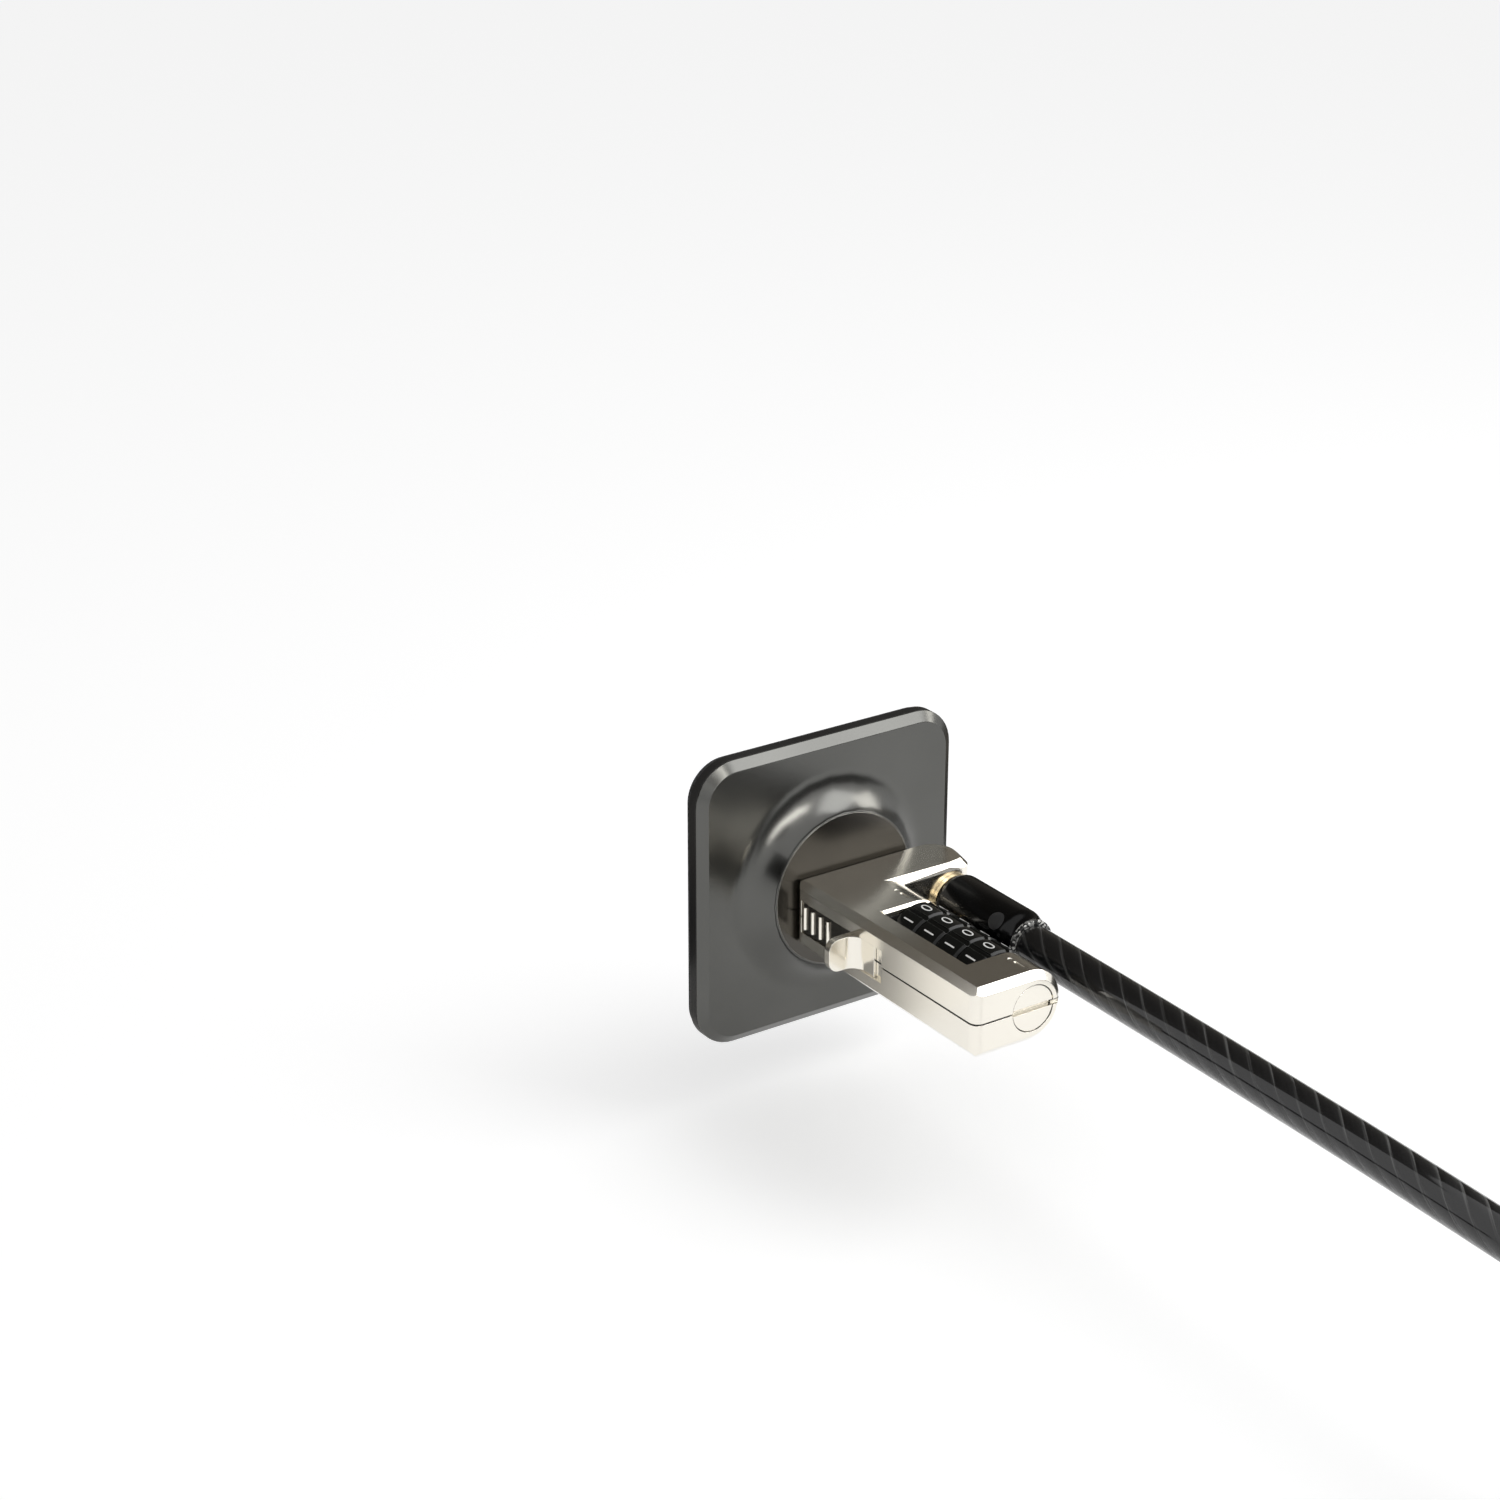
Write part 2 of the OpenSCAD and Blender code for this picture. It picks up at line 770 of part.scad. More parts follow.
// Where the slider's carriage runs, behind the shells' left wall
module slider_bay() {
    h = slider_h / 2 + carriage_lip + run_gap;
    box([head_left - past, carriage_x + carriage_t + run_gap],
        [slider_rear - run_gap, slot_end], [mid_z - h, mid_z + h]);
    rod(spring_x, mid_z, spring_r + spring_wire / 2 + run_gap, [yoke_front, yoke_front + spring_l]);
}

// Where the locking bar and its yoke run, and the hook's seat
module bar_bay() {
    box([-slot_l / 2 + neck_gap - seat_gap, -neck_gap / 2], [head_rear, hook_front + seat_gap],
        [-hook_t / 2 - seat_gap, hook_t / 2 + seat_gap]);
    box([neck_gap / 2 - run_gap, slot_l / 2], [head_rear, yoke_rear],
        [-hook_t / 2 - run_gap, hook_t / 2 + run_gap]);
    box([carriage_x + carriage_t, slot_l / 2], [yoke_rear - run_gap, yoke_front + slider_travel + run_gap],
        [yoke_low - run_gap, hook_t / 2 + run_gap]);
}

// ---------- hook, bar, slider ----------

// A neck that fills the security slot's outline between two places sideways
module neck(x, out) {
    intersection() {
        box(x, out, [-hook_t / 2, hook_t / 2]);
        front(out)
            slot_outline(neck_gap);
    }
}

module locking_hook() {
    left = -slot_l / 2 + neck_gap;
    right = -neck_gap / 2;
    color("#8d8d8f") {
        neck([left, right], [hook_rear - toe_t, hook_front]);
        box([left + toe_step, right], [hook_rear - toe_t, hook_rear], [-hook_t / 2, hook_t / 2 + toe_reach]);
    }
}

module locking_bar() {
    left = neck_gap / 2;
    right = slot_l / 2 - neck_gap;
    color("#8d8d8f")
        difference() {
            union() {
                neck([left, right], [bar_rear, yoke_rear + past]);
                box([carriage_x + carriage_t, right], [yoke_rear, yoke_front], [yoke_low, hook_t / 2]);
            }
            rod(axis_x, mid_z, spindle_r + seat_gap, [yoke_rear + past, yoke_front + past]);
        }
}

module slider_spring() {
    color("silver")
        tube(spring_at(spring_x, mid_z, [yoke_front + spring_wire / 2, yoke_front + spring_l - spring_wire / 2],
            spring_r, spring_turns), spring_wire / 2, 6, [0, 1, 0]);
}

// The tab and its hollow foot, sideways and out
module tab_plan() {
    tip = head_left - tab_out;
    skin = head_left + slider_skin;
    translate([tip, tab_face - tab_t])
        square([skin - tip + slider_plate_t, tab_t]);
    difference() {
        translate([skin - tab_fillet, tab_face])
            square([tab_fillet + slider_plate_t, tab_fillet]);
        translate([skin - tab_fillet, tab_face + tab_fillet])
            circle(tab_fillet);
    }
}

// The tab's round tip, seen along the head
module tab_outline() {
    tip = head_left - tab_out;
    translate([tip + tab_tip_r, mid_z - slider_h / 2])
        square([tab_out + wall, slider_h]);
    translate([tip, mid_z - slider_h / 2 + tab_tip_r])
        square([tab_out, slider_h - 2 * tab_tip_r]);
    for (side = [-1, 1])
        translate([tip + tab_tip_r, mid_z + side * (slider_h / 2 - tab_tip_r)])
            circle(tab_tip_r);
}

module thumb_slider() {
    skin = head_left + slider_skin;
    h = slider_h / 2;
    color("#c9bfae") {
        intersection() {
            plan([mid_z - h, mid_z + h])
                tab_plan();
            front([tab_face - tab_t, slider_foot])
                tab_outline();
        }
        box([skin, carriage_x + carriage_t], [slider_rear, slider_foot], [mid_z - h, mid_z + h]);
        box([skin, skin + apron_t], [slider_foot - past, apron_end], [mid_z - h, mid_z + h]);
        box([carriage_x, carriage_x + carriage_t], [slider_rear, slider_foot],
            [mid_z - h - carriage_lip, mid_z + h + carriage_lip]);
        for (i = [0:rib_n - 1])
            translate([skin, -slider_rear - rib_w - i * rib_pitch, mid_z])
                cylinder(d = rib_w, h = slider_h - 2 * rib_w, center = true, $fn = 24);
    }
}

// ---------- dials ----------

function dial_out(i) = window_rear + window_gap + (i - 1) * dial_pitch;

module dial(i) {
    out = dial_out(i);
    color("#161616")
        difference() {
            union() {
                rod(axis_x, mid_z, dial_r, [out + dial_edge, out + dial_w - dial_edge]);
                cone(axis_x, mid_z, [dial_r - dial_edge, dial_r], [out, out + dial_edge]);
                cone(axis_x, mid_z, [dial_r, dial_r - dial_edge], [out + dial_w - dial_edge, out + dial_w]);
            }
            rod(axis_x, mid_z, hub_r + seat_gap, [out - past, out + dial_w + past]);
            for (k = [0:digit_n - 1])
                dial_groove(out, 360 * (k + 0.5) / digit_n);
        }
}

module dial_groove(out, turn) {
    rod(axis_x + dial_r * sin(turn), mid_z + dial_r * cos(turn), groove_r, [out - past, out + dial_w + past]);
}

module dial_hub(i) {
    out = dial_out(i);
    color("#b59a5a")
        difference() {
            rod(axis_x, mid_z, hub_r, [out, out + dial_w]);
            rod(axis_x, mid_z, spindle_r + run_gap, [out - past, out + dial_w + past]);
            rod(axis_x, mid_z, fin_r + 2 * run_gap, [out + hub_wall, out + dial_w + past]);
        }
}

module dial_washer() {
    color("silver")
        difference() {
            rod(axis_x, mid_z, hub_r - run_gap, [window_front + run_gap, window_front + washer_t]);
            rod(axis_x, mid_z, spindle_r + 2 * run_gap, [window_front - past, window_front + past]);
        }
}

module spindle() {
    color("#9a9a9c") {
        rod(axis_x, mid_z, spindle_r, [yoke_rear + past, spindle_front]);
        for (i = [1:dial_n])
            rod(axis_x, mid_z, fin_r, [dial_out(i) + hub_wall + 2 * run_gap, dial_out(i) + hub_wall + 2 * run_gap + fin_t]);
    }
}

// ---------- reset screw ----------

module reset_screw() {
    ahead = head_front - screw_recess;
    color("#cfc6b4")
        difference() {
            rod(axis_x, mid_z, screw_r, [screw_rear, ahead]);
            rod(axis_x, mid_z, spindle_r + run_gap,
                [screw_rear - past, spindle_front + slider_travel + free_gap]);
            box([axis_x - screw_r - past, axis_x + screw_r + past], [ahead - screw_slot_d, ahead + past],
                [mid_z - screw_slot_w / 2, mid_z + screw_slot_w / 2]);
        }
}

module reset_spring() {
    out = [window_front + washer_t + reset_wire / 2, screw_rear - reset_wire / 2 - run_gap];
    color("silver")
        tube(spring_at(axis_x, mid_z, out, reset_spring_r, reset_turns), reset_wire / 2, 6, [0, 1, 0]);
}

// ---------- swivel and sleeve ----------

module swivel_stud() {
    color("#b89b63")
        difference() {
            union() {
                rod(stud_x, mid_z, stud_r, [stud_rear, sleeve_rear + stud_in_sleeve]);
                rod(stud_x, mid_z, collar_r, [collar_rear, sleeve_rear]);
            }
            difference() {
                rod(stud_x, mid_z, stud_r + past, [clip_out, clip_out + ring_t]);
                rod(stud_x, mid_z, stud_r - ring_groove, [clip_out - past, clip_out + ring_t + past]);
            }
        }
}

module stud_clip() {
    color("silver")
        difference() {
            rod(stud_x, mid_z, ring_r, [clip_out + seat_gap, clip_out + ring_t - seat_gap]);
            rod(stud_x, mid_z, stud_r - ring_groove + seat_gap, [clip_out - past, clip_out + past]);
        }
}

module cable_sleeve() {
    lip = sleeve_end - sleeve_lip_l;
    color("#101012")
        difference() {
            union() {
                cone(stud_x, mid_z, [sleeve_r - sleeve_edge, sleeve_r], [sleeve_rear, sleeve_rear + sleeve_edge]);
                rod(stud_x, mid_z, sleeve_r, [sleeve_rear + sleeve_edge, sleeve_end - taper_l]);
                cone(stud_x, mid_z, [sleeve_r, taper_d / 2], [sleeve_end - taper_l, lip]);
                rod(stud_x, mid_z, taper_d / 2 + sleeve_lip, [lip, sleeve_end]);
            }
            rod(stud_x, mid_z, stud_r + seat_gap, [sleeve_rear - past, sleeve_rear + stud_in_sleeve]);
            rod(stud_x, mid_z, cable_r + cable_fit, [sleeve_end - cable_depth, sleeve_end + past]);
            sleeve_pin_at(seat_gap);
        }
}

module sleeve_pin_at(gap) {
    translate([stud_x, -sleeve_end + pin_from_end, mid_z])
        rotate([0, -pin_turn, 0])
            rotate([0, 90, 0])
                translate([0, 0, pin_bottom])
                    cylinder(r = pin_r + gap, h = sleeve_r - pin_recess - pin_bottom + gap);
}

module sleeve_pin() {
    color("#6f6f72")
        sleeve_pin_at(0);
}

// ---------- cable ----------

function run_path() =
    [for (p = run_points) [stud_x + p[0], -sleeve_end - p[1] + (p[1] == 0 ? cable_depth - free_gap : 0), mid_z + p[2]]];

// A turn of the hank has 24 stations: 4 along each straight and 8 round each fold
turn_stations = 24;
far_fold = 4;
left_straight = 12;
near_fold = 16;
function ease(f) = f * f * (3 - 2 * f);
function turn_r(n) = n < outer_turns ? outer_fold_r : fold_r;
// The layer of a turn at its far fold, counted from the desk
function turn_layer(n) = n < outer_turns ? outer_turns - 1 - n : n - outer_turns;
function layer_z(layer) = hank_top_z - hank_pitch * (outer_turns - 1 - layer);
// An outer turn comes down along its right straight
function right_z(n, f) = layer_z(turn_layer(n) + (n < outer_turns ? 1 - ease(f) : 0));
// An inner turn climbs along its left straight
function left_z(n, f) = layer_z(turn_layer(n) + (n < outer_turns ? 0 : ease(f)));
// The last fold climbs on top of the hank, where the end loop lies
function near_z(n, f) =
    left_z(n, 1) + (n == outer_turns + inner_turns - 1 ? (loop_z - left_z(n, 1)) * ease(f) : 0);
function hank_point(n, k) =
    let (r = turn_r(n), next = turn_r(n + 1), mean = (r + next) / 2, side = [hank_x, -hank_out, 0])
    k < far_fold ?
        let (f = k / far_fold) side + [r, -straight_l * f, right_z(n, f)]
    : k < left_straight ?
        let (a = 180 * (k - far_fold) / (left_straight - far_fold))
        side + [r * cos(a), -straight_l - r * sin(a), layer_z(turn_layer(n))]
    : k < near_fold ?
        let (f = (k - left_straight) / (near_fold - left_straight)) side + [-r, -straight_l * (1 - f), left_z(n, f)]
    :
        let (f = (k - near_fold) / (turn_stations - near_fold))
        side + [(next - r) / 2 - mean * cos(180 * f), mean * sin(180 * f), near_z(n, f)];
hank_start = hank_point(0, far_fold) + [0, hank_lead, 0];
hank_end = hank_point(outer_turns + inner_turns - 1, turn_stations) - [0, hank_lead, 0];
hank_path = [
    hank_start,
    for (n = [0:outer_turns + inner_turns - 1])
        for (k = [n == 0 ? far_fold : 0:turn_stations - 1]) hank_point(n, k),
    hank_point(outer_turns + inner_turns - 1, turn_stations),
    hank_end
];
function least_gap(p, skip) =
    min([for (i = [0:len(p) - 1 - skip]) min([for (j = [i + skip:len(p) - 1]) norm(p[i] - p[j])])]) - cable_d;
function path_length(p) = len(p) < 2 ? 0 : [for (i = [1:len(p) - 1]) norm(p[i] - p[i - 1])] * [for (i = [1:len(p) - 1]) 1];

function tail_path() = [for (p = tail_points) hank_end + [p[0], -p[1], 0]];
tail_end = tail_path()[len(tail_points) - 1];
tail_dir = unit(tail_end - tail_path()[len(tail_points) - 2]);
tail_side = cross(tail_dir, [0, 0, 1]);
loop_first = loop_points[0];
function beside(along, across) = tail_end + along * tail_dir + (across - loop_first[1]) * tail_side;

// The loop leaves the ferrule and comes back to it straight
function loop_path() = concat([[0, loop_first[1]]], smooth(loop_points, 2), [[0, -loop_first[1]]]);

module cable_run() {
    color("#17181a")
        tube(run_path(), cable_r, run_sides);
}

module cable_hank() {
    color("#17181a")
        tube(hank_path, cable_r, hank_sides);
}

module cable_tail() {
    color("#17181a")
        tube(tail_path(), cable_r, run_sides);
}

module cable_loop() {
    color("#17181a")
        tube([for (p = loop_path()) beside(ferrule_l + p[0], p[1])], cable_r, hank_sides);
}

// A flattened ferrule that holds the cable and the end of its loop side by side
module loop_ferrule() {
    r = cable_r + ferrule_wall;
    reach = abs(loop_first[1]);
    color("#9b9b9e")
        translate(beside(0, 0))
            multmatrix([
                [tail_side[0], 0, tail_dir[0], 0],
                [tail_side[1], 0, tail_dir[1], 0],
                [0, 1, 0, 0],
                [0, 0, 0, 1]
            ]) {
                for (x = [-reach, reach])
                    translate([x, 0, 0])
                        cylinder(r = r, h = ferrule_l);
                translate([-reach, -r, 0])
                    cube([2 * reach, 2 * r, ferrule_l]);
            }
}

// The strap round the left straights
module hank_tie() {
    slack = turn_gap / 2;
    sides = [hank_x - outer_fold_r - cable_r - slack, hank_x - fold_r + cable_r + slack];
    heights = [layer_z(0) - cable_r - slack, layer_z(outer_turns - 1) + cable_r + slack];
    middle = hank_out + tie_from_fold;
    color("#232325")
        difference() {
            box([sides[0] - tie_t, sides[1] + tie_t], [middle - tie_w / 2, middle + tie_w / 2],
                [heights[0] - tie_t, heights[1] + tie_t]);
            box(sides, [middle - tie_w, middle + tie_w], heights);
        }
}

echo(hank_gap = least_gap(concat(run_path(), hank_path), turn_stations / 2),
    cable_length = path_length(run_path()) + path_length(hank_path) + path_length(tail_path()));

adhesive_pad();
plate_base();
anchor_plate();
slot_disc();
upper_shell();
lower_shell();
lock_chassis();
shell_pins();
locking_hook();
thumb_slider();
locking_bar();
slider_spring();
spindle();
dial(1);  // dial_1
dial(2);  // dial_2
dial(3);  // dial_3
dial(4);  // dial_4
dial_hub(1);  // dial_hub_1
dial_hub(2);  // dial_hub_2
dial_hub(3);  // dial_hub_3
dial_hub(4);  // dial_hub_4
dial_washer();
reset_screw();
reset_spring();
swivel_stud();
stud_clip();
cable_sleeve();
sleeve_pin();
cable_run();
cable_hank();
cable_tail();
loop_ferrule();
cable_loop();
hank_tie();
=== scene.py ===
"""Finishes and detail pieces of a laptop cable lock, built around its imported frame. Metres, +Z up."""

import json
import math

import bmesh
import bpy
from bpy.props import FloatProperty, FloatVectorProperty, IntProperty, PointerProperty
from mathutils import Matrix, Vector


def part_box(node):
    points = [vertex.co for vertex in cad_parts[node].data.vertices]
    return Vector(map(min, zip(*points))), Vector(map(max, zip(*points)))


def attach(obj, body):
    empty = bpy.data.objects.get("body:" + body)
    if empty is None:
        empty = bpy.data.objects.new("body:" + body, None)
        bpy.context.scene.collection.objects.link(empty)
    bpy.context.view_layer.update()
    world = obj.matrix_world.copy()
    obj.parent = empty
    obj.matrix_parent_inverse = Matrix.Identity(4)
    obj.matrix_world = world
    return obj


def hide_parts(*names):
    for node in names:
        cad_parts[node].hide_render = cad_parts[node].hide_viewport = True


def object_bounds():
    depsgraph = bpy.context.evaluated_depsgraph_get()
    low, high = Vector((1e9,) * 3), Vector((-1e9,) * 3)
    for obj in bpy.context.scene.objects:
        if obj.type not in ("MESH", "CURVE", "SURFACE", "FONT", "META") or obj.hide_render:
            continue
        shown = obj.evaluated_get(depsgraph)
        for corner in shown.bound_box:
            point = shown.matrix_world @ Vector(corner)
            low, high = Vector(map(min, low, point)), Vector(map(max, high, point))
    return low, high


bl_info = {
    "name": "Laptop Cable Lock",
    "version": (1, 0, 0),
    "blender": (4, 5, 0),
    "location": "3D View > Sidebar > Cable Lock",
    "description": "Builds the finishes, the dial digits, the twisted cable and the studio of a laptop "
                   "cable lock",
    "category": "Object",
}

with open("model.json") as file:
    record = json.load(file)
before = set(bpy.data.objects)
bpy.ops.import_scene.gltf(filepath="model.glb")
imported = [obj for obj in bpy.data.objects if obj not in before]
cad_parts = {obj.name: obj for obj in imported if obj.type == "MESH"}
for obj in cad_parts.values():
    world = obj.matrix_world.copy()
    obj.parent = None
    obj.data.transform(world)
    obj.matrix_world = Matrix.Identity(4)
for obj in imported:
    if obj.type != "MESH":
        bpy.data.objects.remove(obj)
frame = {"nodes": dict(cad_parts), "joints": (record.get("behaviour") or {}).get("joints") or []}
CAD_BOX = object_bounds()
MM = 0.001

# Places that the frame gives: "out" is the distance along -Y from the adhesive face
PLATE_LOW, PLATE_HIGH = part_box("anchor_plate")
DISC_LOW, DISC_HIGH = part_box("slot_disc")
SLEEVE_LOW, SLEEVE_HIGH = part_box("cable_sleeve")
SHELL_LOW, SHELL_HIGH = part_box("upper_shell")
TIE_LOW, TIE_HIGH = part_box("hank_tie")
BASE_OUT = -PLATE_HIGH.y
DOME_OUT = -PLATE_LOW.y
DISC_BACK_OUT = -DISC_HIGH.y
DISC_R = DISC_HIGH.x
SWIVEL_X = (SLEEVE_LOW.x + SLEEVE_HIGH.x) / 2
SWIVEL_Z = (SLEEVE_LOW.z + SLEEVE_HIGH.z) / 2
SLEEVE_R = (SLEEVE_HIGH.x - SLEEVE_LOW.x) / 2
SLEEVE_OUT = -SLEEVE_HIGH.y
SLEEVE_END = -SLEEVE_LOW.y
DESK_Z = CAD_BOX[0].z
# Outer radius of the cable's sheath
CABLE_R = 3.3 * MM


def joint_place(name):
    """The middle of a joint's axis."""
    for joint in frame["joints"]:
        if joint["name"] == name:
            return Vector(joint["pos_m"])
    raise ValueError(f"the frame has no joint named {name}")


DIAL_NAMES = sorted(n for n in frame["nodes"] if n.startswith("dial_") and n[5:].isdigit())
DIAL_AXIS = joint_place("dial_1_turn")


# ---------- sizes and colours that a user may change ----------

def length_prop(name, text, value):
    return FloatProperty(name=name, description=text, default=value, min=0.0, unit="LENGTH", precision=5)


def colour_prop(name, text, value):
    return FloatVectorProperty(name=name, description=text, default=value, size=3, min=0.0, max=1.0,
                               subtype="COLOR")


class PlateSettings(bpy.types.PropertyGroup):
    corner: length_prop("Corner", "Corner radius of the anchor plate", 7.0 * MM)
    chamfer: length_prop("Chamfer", "Width of the chamfer around the plate", 1.6 * MM)
    rim: length_prop("Rim", "Upright rim below the chamfer", 0.2 * MM)
    face_t: length_prop("Face", "Thickness of the plate at its rim", 1.4 * MM)
    dome_base: length_prop("Dome base", "Radius where the dome leaves the plate", 19.4 * MM)
    dome_top: length_prop("Dome top", "Radius of the rim on top of the dome", 13.4 * MM)
    lip: length_prop("Lip", "Rounded edge on top of the dome", 0.2 * MM)
    flare_round: FloatProperty(
        name="Flare round", description="Share of the rise that follows a quarter round",
        default=0.25, min=0.0, max=1.0)
    flare_power: FloatProperty(name="Flare power", description="Power of the rest of the rise", default=1.9)
    pocket: length_prop("Pocket", "Radius of the room behind the slot disc", 9.5 * MM)
    colour: colour_prop("Plate", "Dark gunmetal of the anchor plate", (0.118, 0.118, 0.112))
    disc_colour: colour_prop("Disc", "Steel of the slot disc", (0.085, 0.080, 0.072))


class HeadSettings(bpy.types.PropertyGroup):
    nickel: colour_prop("Nickel", "Warm nickel of the lock head", (0.88, 0.845, 0.765))
    # Painted shade: a darker colour on the field between the slider's ribs and its tab, in place of shade and
    # dark reflections
    smoke: colour_prop("Smoke", "Dark field between the slider's ribs and its tab", (0.13, 0.122, 0.108))
    grip_skin: length_prop("Grip skin", "Distance to the left of the slider's outer face", 9.45 * MM)
    # Where the painted shade ends at the tab
    grip_end: length_prop("Grip end", "Distance out where the smoked field ends at the tab", 23.8 * MM)
    dial: colour_prop("Dial", "Gloss black of the dials", (0.0055, 0.006, 0.0055))
    digit: colour_prop("Digit", "White paint of the digits", (0.86, 0.86, 0.84))
    digit_height: length_prop("Digit height", "Height of a digit along the head", 2.3 * MM)
    digit_proud: length_prop("Digit paint", "How far the paint stands proud", 0.03 * MM)
    dot: length_prop("Dot", "Radius of the index dots", 0.38 * MM)
    dots_out: FloatVectorProperty(name="Dots", description="Distance out of the two index dots", size=2,
                                  default=(21.1 * MM, 50.2 * MM), unit="LENGTH")


class CableSettings(bpy.types.PropertyGroup):
    sheath: colour_prop("Sheath", "Black strands under the clear sheath", (0.005, 0.005, 0.0055))
    # Painted glint: a lighter colour line along each strand, in place of light caught where two strands meet
    glint: colour_prop("Glint", "Light caught where two strands meet", (0.10, 0.10, 0.098))
    length: length_prop("Length", "Length of the cable with its end loop", 1.82)
    strands: IntProperty(name="Strands", description="Number of strands in the lay", default=6, min=3)
    lay: length_prop("Lay", "Length of one turn of the strands", 29.0 * MM)
    sides: IntProperty(name="Sides", description="Faces around the cable", default=20, min=8)
    fold: length_prop("Fold", "Radius of the hank's inner folds", 19.8 * MM)
    straight: length_prop("Straight", "Straight part of a turn of the hank", 69.2 * MM)
    pitch: length_prop("Pitch", "Distance from one turn to the next", 7.3 * MM)
    ferrule_l: length_prop("Ferrule", "Length of the ferrule on the end loop", 22.0 * MM)
    strap: colour_prop("Strap", "Woven strap around the hank", (0.022, 0.022, 0.024))


class StageSettings(bpy.types.PropertyGroup):
    lens: FloatProperty(name="Lens", description="Focal length in mm on a 36 mm sensor", default=80.99)
    floor: colour_prop("Floor", "Pale floor", (0.86, 0.86, 0.86))
    key: FloatProperty(name="Key", description="Brightness of the soft light above the front", default=2.9)
    ambient: FloatProperty(name="Ambient", description="Plain light from all around", default=0.62)


# ---------- node helpers ----------

def add_node(tree, kind, **inputs):
    """A shader node with values on the sockets that are named, spaces written as underscores."""
    node = tree.nodes.new(kind)
    for key, value in inputs.items():
        node.inputs[key.replace("_", " ")].default_value = value
    return node


def math_node(tree, operation, first, second=None, clamp=False):
    node = tree.nodes.new("ShaderNodeMath")
    node.operation = operation
    node.use_clamp = clamp
    for socket, value in zip(node.inputs, (first, second)):
        if value is None:
            continue
        if isinstance(value, (int, float)):
            socket.default_value = value
        else:
            tree.links.new(value, socket)
    return node.outputs[0]


def ramp(tree, value, low, high, to_low=0.0, to_high=1.0):
    node = tree.nodes.new("ShaderNodeMapRange")
    node.interpolation_type = "SMOOTHSTEP"
    for name, number in (("From Min", low), ("From Max", high), ("To Min", to_low), ("To Max", to_high)):
        node.inputs[name].default_value = number
    tree.links.new(value, node.inputs["Value"])
    return node.outputs["Result"]


def mix_colour(tree, factor, first, second):
    node = tree.nodes.new("ShaderNodeMix")
    node.data_type = "RGBA"
    for socket, value in ((node.inputs[0], factor), (node.inputs[6], first), (node.inputs[7], second)):
        if isinstance(value, bpy.types.NodeSocket):
            tree.links.new(value, socket)
        else:
            socket.default_value = (*value, 1.0) if hasattr(value, "__len__") else value
    return node.outputs[2]


def object_coordinates(tree, scale=(1.0, 1.0, 1.0)):
    place = tree.nodes.new("ShaderNodeTexCoord")
    mapping = tree.nodes.new("ShaderNodeMapping")
    mapping.inputs["Scale"].default_value = scale
    tree.links.new(place.outputs["Object"], mapping.inputs["Vector"])
    return mapping.outputs["Vector"]


def split_axes(tree, vector):
    node = tree.nodes.new("ShaderNodeSeparateXYZ")
    tree.links.new(vector, node.inputs["Vector"])
    return node.outputs


def new_group(name, inputs, outputs):
    group = bpy.data.node_groups.new(name, "ShaderNodeTree")
    for label, kind, value in inputs:
        socket = group.interface.new_socket(name=label, in_out="INPUT", socket_type=kind)
        socket.default_value = value
    for label, kind in outputs:
        group.interface.new_socket(name=label, in_out="OUTPUT", socket_type=kind)
    return group, group.nodes.new("NodeGroupInput"), group.nodes.new("NodeGroupOutput")


def grain_group():
    """Fine satin grain, with a slow drift of tone. Scale is in grains per metre."""
    group = bpy.data.node_groups.get("Satin Grain")
    if group:
        return group
    group, given, out = new_group(
        "Satin Grain",
        [("Scale", "NodeSocketFloat", 3000.0), ("Drift Scale", "NodeSocketFloat", 60.0)],
        [("Height", "NodeSocketFloat"), ("Drift", "NodeSocketFloat")],
    )
    place = object_coordinates(group)
    fine = add_node(group, "ShaderNodeTexNoise", Detail=3.0, Roughness=0.6)
    drift = add_node(group, "ShaderNodeTexNoise", Detail=2.0, Roughness=0.5)
    for node, scale in ((fine, "Scale"), (drift, "Drift Scale")):
        group.links.new(place, node.inputs["Vector"])
        group.links.new(given.outputs[scale], node.inputs["Scale"])
    group.links.new(fine.outputs["Fac"], out.inputs["Height"])
    group.links.new(drift.outputs["Fac"], out.inputs["Drift"])
    return group


def edge_group():
    """Where an outer edge is lightened, partly as rubbed wear and partly as a painted highlight, and the
    normal of a slightly rounded edge.
    """
    group = bpy.data.node_groups.get("Worn Edge Highlight")
    if group:
        return group
    group, given, out = new_group(
        "Worn Edge Highlight",
        [("Radius", "NodeSocketFloat", 0.15 * MM)],
        [("Mask", "NodeSocketFloat"), ("Normal", "NodeSocketVector")],
    )
    bevel = group.nodes.new("ShaderNodeBevel")
    bevel.samples = 6
    group.links.new(given.outputs["Radius"], bevel.inputs["Radius"])
    geometry = group.nodes.new("ShaderNodeNewGeometry")
    dot = group.nodes.new("ShaderNodeVectorMath")
    dot.operation = "DOT_PRODUCT"
    group.links.new(bevel.outputs["Normal"], dot.inputs[0])
    group.links.new(geometry.outputs["Normal"], dot.inputs[1])
    turned = math_node(group, "SUBTRACT", 1.0, dot.outputs["Value"])
    group.links.new(ramp(group, turned, 0.01, 0.16), out.inputs["Mask"])
    group.links.new(bevel.outputs["Normal"], out.inputs["Normal"])
    return group


def weave_group():
    """A plain weave over two directions. Pitch is the number of threads per metre."""
    group = bpy.data.node_groups.get("Plain Weave")
    if group:
        return group
    group, given, out = new_group(
        "Plain Weave", [("Pitch", "NodeSocketFloat", 2400.0)], [("Height", "NodeSocketFloat")]
    )
    axes = split_axes(group, group.nodes.new("ShaderNodeUVMap").outputs["UV"])
    waves = []
    for axis in ("X", "Y"):
        turns = math_node(group, "MULTIPLY", axes[axis], given.outputs["Pitch"])
        waves.append(math_node(group, "SINE", turns))
    group.links.new(math_node(group, "MULTIPLY", waves[0], waves[1]), out.inputs["Height"])
    return group


